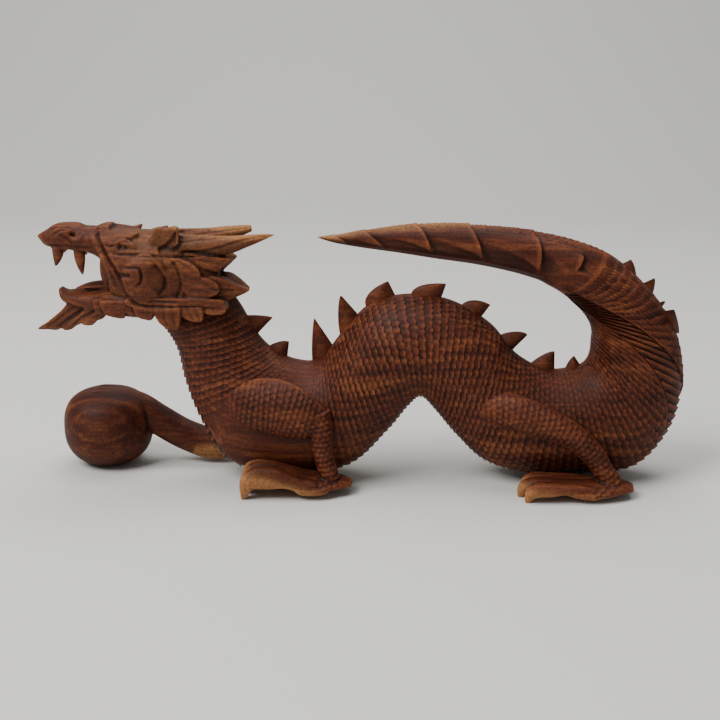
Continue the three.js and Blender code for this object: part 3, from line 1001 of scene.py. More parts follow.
@dataclass
class Spines:
    """The fins that stand along the back.

    Attributes:
        ladder: The body's form.
        thickness: A fin's thickness at its base, in millimetres.
        rows: The arguments of spine() for each fin. The last one stands on the ring's outer side.
    """

    ladder: Ladder
    thickness: float = 4.6
    rows: Rows = (
        (1.72, 34, 5, 34, 0.2), (3.3, 24, 6, 36, 0.5), (7.75, 54, 30, 44, 0.1), (9.05, 40, 26, 42, 0.25),
        (10.18, 23, 21, 48, 1), (11.34, 21, 28, 46, 1), (12.48, 23, 20, 36, 0.9), (13.6, 34, 10, 32, 0.6),
        (14.87, 31, 9, 42, 0.4), (16.1, 18, 5, 26, 0.4), (19.3, 26, 14, 34, 0.4), (19.9, 27, 14, 34, 0.4),
        (20.5, 29, 13, 34, 0.4), (21.27, 19, 12, 34, 0.4), (22.03, 13, 10, 32, 0.4),
        (20.5, 15, 28, 58, 0.3, -66),
    )

    def spine(self, place: float, rise: float, lean: float, base: float, hook: float,
              turn: float = 0.0) -> Shell:
        """One fin: lens-shaped rings that shrink towards a tip.

        The lens is 1 - |u|^1.7 thick at the share u of its half length. The front edge runs to the
        tip on a straight line or, on a beak, a quarter of an ellipse, and the rear edge on a straight
        line or a hollow curve.

        Args:
            place: Its place on the ladder.
            rise: Its height over the back, in shares of the length.
            lean: How far its tip leans towards the tail, in shares of the length.
            base: Length of its base, in shares of the length.
            hook: How much it is hooked: 0 for a thorn, 1 for a beak.
            turn: How many degrees it stands from the back.

        Returns:
            The fin's closed skin.
        """
        step = 0.05
        back = self.ladder.point(np.array([place - step, place, place + step]), np.full(3, turn),
                                 np.zeros(3), np.ones(3))
        belly = self.ladder.point(np.array([place]), np.array([180 + turn]), np.zeros(1), np.ones(1))[0]
        tangent = unit(back[2] - back[0])
        out = (back[1] - belly) / 2
        out = unit(out - tangent * (out @ tangent))
        side = np.cross(tangent, out)
        heights = np.array([-0.45, -0.2, 0, 0.12, 0.24, 0.36, 0.48, 0.6, 0.7, 0.8, 0.88, 0.94, 0.985])
        up = np.clip(heights, 0, 1)
        shoulder = hook * (1 - np.sqrt(1 - up**2)) + (1 - hook) * up**1.1
        hollow = (1 - hook) * up**0.9 + hook * (0.6 * np.sqrt(up) * (1 - up) + up**1.6)
        front = -base / 2 + (base / 2 + lean) * shoulder
        rear = base / 2 + (lean - base / 2) * hollow
        middle = BLOCK.along((front + rear) / 2)
        half = np.maximum(BLOCK.along((rear - front) / 2), 0.08)
        around = full_turn(24)
        u = np.cos(around)
        v = np.sign(np.sin(around)) * (1 - np.abs(u) ** 1.7)
        length = half[:, None] * u
        thick = self.thickness / 2 * np.minimum(1, 0.15 + half / half[2])[:, None] * v
        lift = BLOCK.along(rise) * heights
        rings = (back[1] + out * lift[:, None, None]
                 + tangent * (middle[:, None] + length)[..., None] + side * thick[..., None])
        return skin(rings)

    def build(self) -> bpy.types.Object:
        """Makes the fins' piece."""
        shell = joined([self.spine(*row) for row in self.rows])
        return make_piece("back_spines", shell, stain_from(shell, 1, 0.2), np.zeros(len(shell.points)))


@dataclass
class Head:
    """The head with its horns, ears, cheeks, mane and beard.

    Rows of five are a limb's stations: x, y, z, half height and half width. Rows of two are a
    plate's outline, and the pairs that follow them are its levels. All are shares of the block.

    Attributes:
        grain: Side of the squares that its skin is fused of, in millimetres.
        eye_diameter: In millimetres.
        fang_length: Length of the longest fang, in millimetres.
        cheek_middle: The cheek's middle x, z; its radius, rim and top are shares too.
        back_leaf_width: Half width of the leaves behind the mane.
        seat: Share of the depth at which the lobes start, inside the head.
        jaw_lobes: How many of the lobes hang from the jaw; the others are the mane's.
        far_mane: How far back and down the far mane lies from the near one's mirror image.
        tones: Paleness all over, and what the beard, the cheeks and the crest add to it.
    """

    grain: float = 0.47
    eye_diameter: float = 3.0
    fang_length: float = 9.0
    cheek_middle: tuple[float, float] = (-316, 329)
    cheek_radius: float = 37
    cheek_rim: float = 200
    cheek_top: float = 258
    back_leaf_width: float = 118
    seat: float = 120
    jaw_lobes: int = 6
    far_mane: tuple[float, float] = (16, 8)
    tones: tuple[float, float, float, float] = (0.14, 0.2, 0.08, 0.24)
    jaw_moulding: Rows = ((-345, 299), (-300, 300), (-250, 300), (-205, 298), (-203, 290), (-250, 287),
                          (-300, 286), (-340, 288))
    beard_root: Rows = ((-430, 294), (-456, 270), (-482, 249), (-485, 244), (-462, 243), (-453, 243),
                        (-441, 245), (-421, 254), (-397, 262), (-386, 270), (-380, 290))
    snout: Rows = (
        (-485, 0, 383, 1.5, 16), (-478, 0, 383, 6, 62), (-466, 0, 382, 13, 112), (-440, 0, 381, 16, 138),
        (-412, 0, 379, 18, 150), (-392, 0, 376, 20, 164), (-372, 0, 370, 26, 186),
        (-345, 0, 358, 30, 196),
    )
    jowl: Rows = (
        (-385, 0, 343, 23, 160), (-380, 0, 343, 40, 182), (-366, 0, 344, 50, 204),
        (-328, 0, 334, 59, 226), (-288, 0, 326, 62, 232), (-250, 0, 318, 54, 214),
        (-216, 0, 310, 42, 176),
    )
    nose_bump: Rows = (
        (-468, 0, 388, 6, 52), (-452, 0, 392.4, 10, 84), (-426, 0, 392.2, 10.5, 90),
        (-410, 0, 387, 7, 70),
    )
    crown_knob: Rows = (
        (-404, 0, 386, 5, 60), (-392, 0, 391, 8, 84), (-382, 0, 394, 8.5, 92), (-373, 0, 394.5, 8, 88),
    )
    nostril: Rows = (
        (-460, -96, 384, 6, 18), (-448, -112, 388, 10, 26), (-432, -118, 389, 10, 24),
        (-418, -118, 384, 6, 18),
    )
    near_brow: Rows = (
        (-396, -72, 379, 11, 34), (-382, -96, 384, 13, 44), (-358, -118, 382, 12, 48),
        (-342, -120, 384, 9, 38), (-328, -112, 392, 1.5, 12),
    )
    far_brow: Rows = (
        (-400, 72, 382, 11, 34), (-388, 96, 386, 13, 44), (-366, 118, 384, 12, 48),
        (-348, 118, 386, 8, 36), (-334, 110, 396, 1.5, 10),
    )
    upper_lid: Rows = (
        (-368, -150, 368, 4, 18), (-358, -168, 377, 5, 22), (-346, -172, 380, 5, 22),
        (-334, -172, 375, 5, 22), (-322, -170, 366, 3, 16),
    )
    near_ear: Rows = ((-309, 374), (-306, 390), (-300, 401), (-292, 402), (-289, 399), (-284, 401),
                      (-268, 402), (-268, 376), (-284, 369), (-298, 368))
    lower_jaw: Rows = (
        (-457, 0, 304, 2.5, 30), (-447, 0, 292, 9, 80), (-425, 0, 289, 12, 116), (-395, 0, 287, 17, 150),
        (-360, 0, 287, 24, 186), (-320, 0, 288, 28, 210),
    )
    tongue: Rows = (
        (-432, 0, 299, 5, 46), (-412, 0, 306, 6, 62), (-390, 0, 308, 7, 66), (-365, 0, 308, 8, 60),
    )
    far_ear: Rows = (
        (-334, 160, 364, 12, 40), (-318, 168, 374, 14, 36), (-306, 158, 383, 9, 28),
        (-297, 142, 392, 1.5, 10),
    )
    horn: Rows = (
        (-285, -104, 372, 18, 62), (-240, -116, 372, 17, 66), (-200, -128, 374, 14, 58),
        (-168, -136, 381, 9, 42), (-143, -140, 387, 4.5, 24), (-125, -142, 391, 0.2, 2),
    )
    short_horn: Rows = (
        (-285, 104, 372, 18, 62), (-240, 116, 374, 16, 62), (-205, 126, 380, 13, 54),
        (-182, 132, 386, 8, 36), (-168, 134, 389, 5, 24),
    )
    lobes: tuple[tuple[Rows, tuple[float, float]], ...] = (
        (((-398, 294), (-374, 294), (-374, 280), (-377, 271), (-388, 271), (-396, 276)), (160, 172)),
        (((-386, 293), (-348, 293), (-349, 278), (-351, 268), (-367, 269), (-380, 274)), (184, 204)),
        (((-352, 292), (-330, 292), (-331, 275), (-338, 271), (-349, 277)), (196, 204)),
        (((-334, 293), (-306, 291), (-307, 269), (-320, 269), (-329, 273), (-334, 284)), (240, 250)),
        (((-303, 291), (-267, 290), (-268, 256), (-286, 256), (-297, 264), (-303, 275)), (244, 256)),
        (((-268, 296), (-235, 290), (-233, 267), (-250, 266), (-264, 274)), (236, 246)),
        (((-235, 299), (-205, 296), (-197, 284), (-205, 276), (-228, 276), (-235, 286)), (222, 244)),
        (((-257, 330), (-226, 330), (-209, 320), (-208, 309), (-220, 302), (-255, 300)), (222, 240)),
        (((-224, 330), (-203, 327), (-184, 317), (-165, 309), (-181, 300), (-201, 294), (-222, 302)),
         (212, 170)),
        (((-282, 362), (-256, 355), (-241, 346), (-234, 334), (-238, 327), (-254, 333), (-270, 345)),
         (208, 232)),
        (((-258, 364), (-230, 362), (-205, 357), (-188, 355), (-203, 343), (-212, 336), (-229, 341),
          (-246, 350)), (206, 168)),
    )
    beard_locks: tuple[tuple[Rows, tuple[float, float]], ...] = (
        (((-430, 294), (-445, 281), (-456, 270), (-470, 258), (-482, 249), (-496, 240), (-479, 240),
          (-462, 240), (-452, 250), (-436, 262), (-414, 272), (-404, 288)), (84, 26)),
        (((-404, 290), (-424, 268), (-440, 256), (-453, 241), (-441, 242), (-431, 249), (-412, 258),
          (-396, 266), (-390, 284)), (128, 60)),
        (((-388, 290), (-404, 268), (-421, 252), (-406, 251), (-397, 259), (-386, 264), (-376, 284)),
         (150, 96)),
    )
    back_leaves: tuple[tuple[tuple[float, float, float], ...], ...] = (
        ((-250, 0, 348), (-218, 0, 348), (-186, 0, 352), (19, 0, 0)),
        ((-235, 0, 312), (-205, 0, 308), (-168, 0, 303), (20, 0, 0)),
    )

    def leaf(self, points: tuple[tuple[float, float, float], ...], broad: float) -> Shell:
        """A pointed leaf, as a limb that narrows to its tip.

        Args:
            points: Its root, its widest point, its tip, and a row that starts with its half height.
            broad: Its half width across.

        Returns:
            The leaf's closed skin.
        """
        root, widest, tip = (np.array(point) for point in points[:3])
        half = points[3][0]
        near_tip = (widest + tip) / 2
        return limb((
            (*root, half * 0.7, broad * 0.8),
            (*widest, half, broad),
            (*near_tip, half * 0.65, broad * 0.7),
            (*tip, 0.3, 1.5),
        ), 20, 6)

    def cheek_height(self, share: np.ndarray) -> np.ndarray:
        """The cheek's flattened dome: a share of the depth at a share of its radius, 1 - s^3."""
        return self.cheek_rim + (self.cheek_top - self.cheek_rim) * np.sqrt(np.maximum(1 - share**3, 0))

    def cheek(self) -> Shell:
        """The near cheek's dome, from inside the head to its top."""
        share = np.array([1.0, 1.0, 0.97, 0.9, 0.8, 0.65, 0.5, 0.3, 0.1])[:, None]
        angle = full_turn(48)[None]
        x = self.cheek_middle[0] + self.cheek_radius * share * np.cos(angle)
        z = self.cheek_middle[1] + self.cheek_radius * share * np.sin(angle)
        y = -self.cheek_height(share) + np.zeros_like(angle)
        y[0] = -self.cheek_rim * 0.6
        return skin(BLOCK.points(np.stack([x, y, z], axis=-1)))

    def fang(self, x: float, y: float, z: float, share: float, lean: float) -> Shell:
        """A fang that hangs from the upper jaw and tapers to a point.

        Args:
            x, y, z: Where it leaves the gum, in shares.
            share: Its length as a share of the longest fang's.
            lean: How far its tip lies behind its root, in shares.

        Returns:
            The fang's closed skin.
        """
        drop = self.fang_length * share / 0.3
        rows = (
            (x, y, z + 12, 8.5, 26),
            (x, y, z, 8.5, 26),
            (x + 0.15 * lean, y, z - 0.3 * drop, 7.5, 22),
            (x + 0.55 * lean, y, z - 0.7 * drop, 4.5, 14),
            (x + lean, y, z - drop, 1.2, 4),
        )
        return limb(rows, 14, 5)

    def eye(self) -> Shell:
        """The near eye, a small ball set deep under the brow."""
        angle = np.linspace(0.02, np.pi - 0.02, 12)[:, None]
        turn = full_turn(20)[None]
        radius = self.eye_diameter / 2
        centre = BLOCK.points(np.array([-349.0, -180.0, 373.0]))
        offset = np.stack([np.sin(angle) * np.cos(turn), np.cos(angle) + np.zeros_like(turn),
                           np.sin(angle) * np.sin(turn)], axis=-1)
        return skin(centre + radius * offset)

    def parts(self) -> list[Shell]:
        """The overlapping forms that the head is fused from."""
        near = [
            limb(self.nostril, 16),
            limb(self.upper_lid, 12),
            self.cheek(),
            self.eye(),
        ]
        near += [plate(outline, self.seat, levels) for outline, levels in self.lobes[:self.jaw_lobes]]
        near += [plate(outline, 0, levels) for outline, levels in self.beard_locks]
        near += [plate(self.jaw_moulding, self.seat, (236, 244)), plate(self.beard_root, 0, (60, 60))]
        mane = self.lobes[self.jaw_lobes:]
        near_mane = [plate(outline, self.seat, levels) for outline, levels in mane]
        back, down = self.far_mane
        far_mane = [plate(tuple((x - back, z - down) for x, z in outline), self.seat, levels).mirrored()
                    for outline, levels in mane]
        middle = [
            limb(self.snout, 32, exponent=2.8),
            limb(self.jowl, 32, exponent=2.5),
            limb(self.nose_bump),
            limb(self.crown_knob, exponent=3),
            limb(self.near_brow, 16),
            limb(self.far_brow, 16),
            plate(self.near_ear, 130, (176, 196)),
            limb(self.far_ear, 16),
            limb(self.lower_jaw, 28, exponent=2.4),
            limb(self.tongue),
            limb(self.horn),
            limb(self.short_horn),
        ] + [self.leaf(points, self.back_leaf_width) for points in self.back_leaves]
        fangs = [
            self.fang(-450, -92, 363, 0.72, -5),
            self.fang(-417, -108, 359, 1.0, 3),
            self.fang(-456, 92, 363, 0.4, -5),
            self.fang(-425, 108, 361, 0.4, 3),
        ]
        return middle + fangs + near_mane + far_mane + near + [shell.mirrored() for shell in near]

    def cuts(self) -> list[Cut]:
        """The lines carved in its sides."""
        step = Profile.STEP
        return [
            Cut(((-462, 370), (-443, 369), (-421, 368), (-396, 367)), 0.9, -0.5),
            Cut(((-464, 374), (-443, 374), (-421, 373), (-396, 372)), 0.8, 0.5),
            Cut(((-453, 394), (-445, 401), (-433, 404), (-420, 404), (-412, 398), (-409, 391),
                 (-415, 383), (-424, 383)), 0.9, -0.6),
            Cut(((-426, 391), (-420, 391)), 1.4, 1.8),
            Cut(((-450, 391), (-440, 397), (-430, 399)), 0.7, 0.6),
            Cut(((-443, 391), (-432, 385), (-424, 377)), 0.8, 0.6),
            Cut(((-404, 396), (-397, 397), (-390, 396), (-385, 386), (-378, 373), (-369, 356),
                 (-361, 344), (-354, 331), (-348, 316), (-340, 301), (-329, 292), (-312, 289),
                 (-277, 289)), 1.1, 1.3),
            Cut(((-399, 393), (-393, 386), (-387, 373), (-378, 356), (-371, 340), (-366, 324),
                 (-360, 306)), 1.2, -0.5),
            Cut(((-376, 378), (-364, 375), (-346, 383), (-336, 380)), 0.8, 0.8),
            Cut(((-354, 374), (-346, 373)), 2.0, 1.7),
            Cut(((-361, 364), (-336, 364), (-307, 363), (-275, 361), (-234, 361)), 1.0, 0.9),
            Cut(((-346, 346), (-325, 346), (-320, 342), (-319, 333), (-321, 324), (-327, 319)), 0.9, 1.0),
            Cut(((-352, 335), (-336, 334)), 1.5, 1.5),
            Cut(((-297, 302), (-288, 310), (-283, 322), (-284, 334), (-291, 345), (-300, 355)),
                3.0, 1.5, step),
            Cut(((-269, 299), (-262, 314), (-262, 328), (-266, 343), (-274, 357)), 2.6, 1.2, step),
            Cut(((-310, 296), (-287, 295), (-270, 295)), 0.7, 0.6),
            Cut(((-316, 286), (-295, 286), (-270, 288), (-251, 288), (-227, 289)), 0.7, 0.7),
            Cut(((-269, 399), (-278, 386), (-288, 377), (-298, 373)), 4.5, 1.5, step),
            Cut(((-126, 392), (-158, 389), (-183, 383), (-213, 374), (-235, 369), (-270, 367)),
                4.0, 1.0, step),
            Cut(((-270, 380), (-240, 383), (-205, 387), (-170, 390)), 0.7, 0.4),
            Cut(((-240, 397), (-233, 391), (-231, 386)), 1.0, 0.9),
            Cut(((-435, 303), (-418, 304), (-396, 302), (-372, 303)), 0.9, 0.7),
            Cut(((-460, 246), (-448, 256), (-432, 267), (-414, 276)), 0.7, 0.6),
            Cut(((-478, 246), (-462, 256), (-446, 269), (-430, 280)), 0.6, 0.4),
            Cut(((-436, 249), (-425, 260), (-410, 269), (-395, 277)), 0.7, 0.6),
            Cut(((-270, 356), (-256, 348), (-244, 338)), 0.6, 0.4),
            Cut(((-248, 358), (-226, 352), (-206, 348)), 0.6, 0.4),
            Cut(((-250, 321), (-232, 321), (-216, 315)), 0.6, 0.4),
            Cut(((-250, 311), (-232, 311), (-218, 308)), 0.6, 0.4),
            Cut(((-290, 286), (-288, 272), (-284, 260)), 0.6, 0.4),
            Cut(((-278, 286), (-276, 272), (-274, 260)), 0.6, 0.4),
            Cut(((-256, 288), (-252, 278), (-246, 269)), 0.6, 0.4),
            Cut(((-244, 288), (-241, 279), (-237, 270)), 0.6, 0.4),
            Cut(((-222, 314), (-206, 312), (-186, 309)), 0.7, 0.6),
        ]

    def paleness(self, points: np.ndarray) -> np.ndarray:
        """How pale its wood is: a little all over, more on the beard, the cheeks and the crest.

        Args:
            points: The points, in millimetres.

        Returns:
            A share from 0 to 1 for each point.
        """
        x, z = (BLOCK.shares(points[:, k]) for k in (0, 2))
        beard = smoothstep(-z, -290, -265) * smoothstep(-x, 370, 410)
        crest = smoothstep(z, 335, 372) * smoothstep(x, -410, -320)
        cheek = smoothstep(x, -400, -340)
        over_all, on_beard, on_cheek, on_crest = self.tones
        tone = over_all + on_beard * beard + on_cheek * cheek + on_crest * crest
        return np.maximum(OuterWood().share(points), tone)

    def build(self) -> bpy.types.Object:
        """Makes the head piece."""
        shell = fused(self.parts(), self.grain)
        soften(shell, 1)
        carve(shell, self.cuts())
        return make_piece("head", shell, stain_from(shell, 3, 0.045), self.paleness(shell.points))


@dataclass
class Legs:
    """The forelegs, hind legs and the pearl.

    Rows are a limb's stations: x, y, z, half height and half width, in shares of the block. A toe's
    y is counted from its own place in the foot.

    Attributes:
        grain: Side of the squares that the skins are fused of, in millimetres.
        pearl_width: In millimetres, as is its height.
        pearl_centre: Its middle x, y, in shares.
        pearl_shape: How square its lower and upper half are; 2 is a ball.
        ground_flat: How much of it is cut off flat on the ground, in millimetres.
        far_painted_shade: Painted shade added to the stain of the far foreleg and the pearl, darkening them
            as if in shadow.
        toe_spacing: From toe to toe across, in shares.
        toes_per_foot: Toes of a foot that stands.
        inner_fore_toe: The y of a forefoot's innermost toe, in shares, as for the hind foot.
        hind_toe_stagger: How far the middle toe lies ahead, in shares.
        paw_claws: The places of the claws over the pearl, in shares from its middle.
        foot_exponent: How square a toe's section is.
        reach: How far scales go from an arm's, forearm's, thigh's and far arm's middle, in shares.
    """

    grain: float = 0.5
    pearl_width: float = 42.6
    pearl_height: float = 37.8
    pearl_centre: tuple[float, float] = (-412, 238)
    pearl_shape: tuple[float, float] = (2.4, 2.8)
    ground_flat: float = 0.5
    # Painted shade: the far foreleg and the pearl are darkened as if they lay in shadow.
    far_painted_shade: float = 0.3
    toe_spacing: float = 84
    toes_per_foot: int = 3
    inner_fore_toe: float = -188
    inner_hind_toe: float = -236
    hind_toe_stagger: float = 8
    upper_arm: Rows = (
        (-204, -136, 142, 18, 60), (-186, -178, 142, 32, 90), (-160, -216, 138, 40, 104),
        (-125, -248, 134, 43, 104), (-88, -268, 121, 36, 96), (-60, -262, 112, 22, 70),
    )
    forearm: Rows = (
        (-68, -262, 128, 22, 76), (-62, -268, 100, 20, 74), (-58, -272, 66, 15, 62),
        (-50, -276, 36, 15, 62), (-46, -278, 14, 17, 66),
    )
    thigh: Rows = (
        (168, -150, 126, 16, 60), (196, -186, 128, 30, 84), (232, -236, 126, 27, 92),
        (280, -278, 111, 24, 88), (318, -296, 93, 20, 80), (346, -304, 68, 18, 74),
        (364, -312, 42, 16, 68), (382, -322, 14, 18, 72),
    )
    fore_palm: Rows = (
        (-14, -276, 17, 4.5, 46), (-32, -268, 18, 8, 92), (-48, -264, 18, 10, 120),
        (-62, -266, 15, 13.5, 134), (-88, -268, 15, 13.5, 134), (-100, -268, 21, 8, 130),
    )
    hind_palm: Rows = (
        (410, -326, 15, 5, 52), (388, -320, 16, 10, 100), (354, -320, 14, 13.5, 134),
        (330, -322, 14, 13, 132), (316, -322, 17, 8, 128),
    )
    fore_toe: Rows = (
        (-58, 0, 16, 4, 16), (-76, 0, 19, 10, 38), (-92, 0, 22, 10, 42), (-112, 0, 29, 12, 43),
        (-134, 0, 33, 17, 44), (-157, 0, 33, 17, 44), (-169, 0, 26, 13.5, 42), (-174, 0, 14, 8.5, 34),
        (-176, 0, 4, 5, 20), (-177, 0, -3, 3, 10),
    )
    hind_toe: Rows = (
        (350, 0, 13, 10, 42), (322, 0, 17, 10, 42), (304, 0, 20, 7.5, 42), (284, 0, 19, 9.5, 44),
        (266, 0, 19, 10, 44), (254, 0, 14, 9, 36), (250, 0, 4, 5.5, 20), (249, 0, -4, 3, 10),
    )
    fore_web: Rows = (
        (-60, -262, 20, 9, 110), (-96, -264, 24, 11, 124), (-128, -268, 32, 14, 122),
        (-156, -270, 33, 14, 120), (-170, -270, 28, 9, 108),
    )
    hind_web: Rows = (
        (376, -318, 16, 10, 108), (340, -320, 16, 11, 128), (300, -322, 20, 7, 126),
        (268, -322, 19, 7, 120),
    )
    far_arm: Rows = (
        (-150, 100, 156, 24, 66), (-168, 170, 140, 40, 96), (-182, 222, 96, 36, 100),
        (-204, 244, 50, 32, 100), (-240, 246, 30, 27, 96), (-286, 248, 44, 25, 92),
        (-330, 250, 70, 25, 92), (-362, 250, 92, 24, 96), (-386, 246, 106, 17, 100),
        (-406, 242, 110, 10, 88),
    )
    paw_claws: tuple[float, ...] = (-58, 4, 66)
    foot_exponent: float = 2.6
    reach: tuple[float, float, float, float] = (46, 22, 34, 44)

    def toes(self, toe: Rows, inner: float, stagger: float) -> list[Shell]:
        """A foot's toes side by side.

        Args:
            toe: The stations of a toe.
            inner: The innermost toe's y.
            stagger: How far the middle toe lies ahead.

        Returns:
            The toes' closed skins.
        """
        made = []
        for index in range(self.toes_per_foot):
            rows = np.array(toe, float)
            rows[:, 0] -= stagger * (index == 1)
            rows[:, 1] += inner - self.toe_spacing * index
            made.append(limb(tuple(map(tuple, rows)), 18, 6, self.foot_exponent))
        return made

    def pearl(self) -> Shell:
        """The pearl: a squarish ball, whose radius and height follow the powered cosine and sine."""
        tilt = np.pi * (np.linspace(0.004, 0.996, 40) - 0.5)
        shape = np.where(tilt > 0, self.pearl_shape[1], self.pearl_shape[0])
        radius = self.pearl_width / 2 * rounded(np.cos(tilt), shape)
        height = self.pearl_height / 2 * (1 + rounded(np.sin(tilt), shape)) - self.ground_flat
        turn = full_turn(64)[None]
        centre = BLOCK.points(np.array([self.pearl_centre[0], self.pearl_centre[1], 0.0]))
        ball = np.stack([radius[:, None] * np.cos(turn), radius[:, None] * np.sin(turn),
                         height[:, None] + np.zeros_like(turn)], axis=-1)
        return skin(centre + ball)

    def claw(self, offset: float) -> Shell:
        """A claw of the paw that lies over the pearl, so many shares from its middle."""
        y = self.pearl_centre[1] + offset
        top = BLOCK.shares(self.pearl_height)
        reach = BLOCK.shares(self.pearl_width) / 2
        return limb((
            (-386, y * 0.98, top - 20, 10, 26),
            (-408, y, top - 9, 8, 28),
            (-432, y, top - 9, 6, 24),
            (self.pearl_centre[0] - reach * 0.72, y, top - 24, 3, 12),
        ), 16)

    def levelled(self, shell: Shell) -> Shell:
        """Cuts the soles flat: no point lies under the ground."""
        shell.points[:, 2] = np.maximum(shell.points[:, 2], 0)
        return shell

    def middle_line(self, stations: Rows) -> Rows:
        """The middle line x, z of a limb."""
        return tuple((row[0], row[2]) for row in stations)

    def build(self) -> list[bpy.types.Object]:
        """Makes the limbs' pieces.

        Returns:
            The near foreleg, the far one with the pearl, and both hind legs.
        """
        near_hind = [limb(self.thigh), limb(self.hind_palm), limb(self.hind_web)]
        near_hind += self.toes(self.hind_toe, self.inner_hind_toe, self.hind_toe_stagger)
        foreleg = [limb(self.upper_arm), limb(self.forearm), limb(self.fore_palm), limb(self.fore_web)]
        foreleg += self.toes(self.fore_toe, self.inner_fore_toe, 0)
        arm, forearm, thigh, far_arm = self.reach
        arm_scales = [
            LimbScales(self.middle_line(self.upper_arm), arm),
            LimbScales(self.middle_line(self.forearm), forearm, 2.4, 2.5),
        ]
        thigh_scales = [LimbScales(self.middle_line(self.thigh), thigh)]
        far_scales = [LimbScales(self.middle_line(self.far_arm[:5]), far_arm)]
        groups = {
            "near_foreleg": (foreleg, arm_scales),
            "far_foreleg_and_pearl": ([limb(self.far_arm), self.pearl()]
                                      + [self.claw(offset) for offset in self.paw_claws], far_scales),
            "near_hind_leg": (near_hind, thigh_scales),
            "far_hind_leg": ([shell.mirrored() for shell in near_hind], thigh_scales),
        }
        made = []
        for name, (shells, scales) in groups.items():
            shell = fused(shells, self.grain)
            soften(shell, 2)
            carve(shell, scales, 0.1)
            shell = self.levelled(shell)
            # The far foreleg and pearl get painted shade added to their stain.
            stain_and_painted_shade = stain_from(shell, 2, 0.04) + (self.far_painted_shade if name.startswith("far_fore") else 0)
            made.append(make_piece(name, shell, stain_and_painted_shade, OuterWood().share(shell.points)))
        return made


def linear(colour: str) -> tuple[float, float, float, float]:
    """A colour written as sRGB hex, as the linear values that a shader takes."""
    parts = [int(colour[k:k + 2], 16) / 255 for k in (1, 3, 5)]
    flat = [c / 12.92 if c <= 0.04045 else ((c + 0.055) / 1.055) ** 2.4 for c in parts]
    return (*flat, 1.0)


def add_node(tree: bpy.types.NodeTree, kind: str, settings: dict | None = None,
             inputs: dict | None = None) -> bpy.types.Node:
    """Adds a shader node with its settings and links.

    Args:
        tree: The material's node tree.
        kind: Blender's name for the node, without the words that all shader nodes start with.
        settings: The node's own properties.
        inputs: Socket by name or number: a value, or another node's output to link from.

    Returns:
        The node.
    """
    node = tree.nodes.new("ShaderNode" + kind)
    for name, value in (settings or {}).items():
        setattr(node, name, value)
    for socket, value in (inputs or {}).items():
        if isinstance(value, bpy.types.NodeSocket):
            tree.links.new(value, node.inputs[socket])
        else:
            node.inputs[socket].default_value = value
    return node


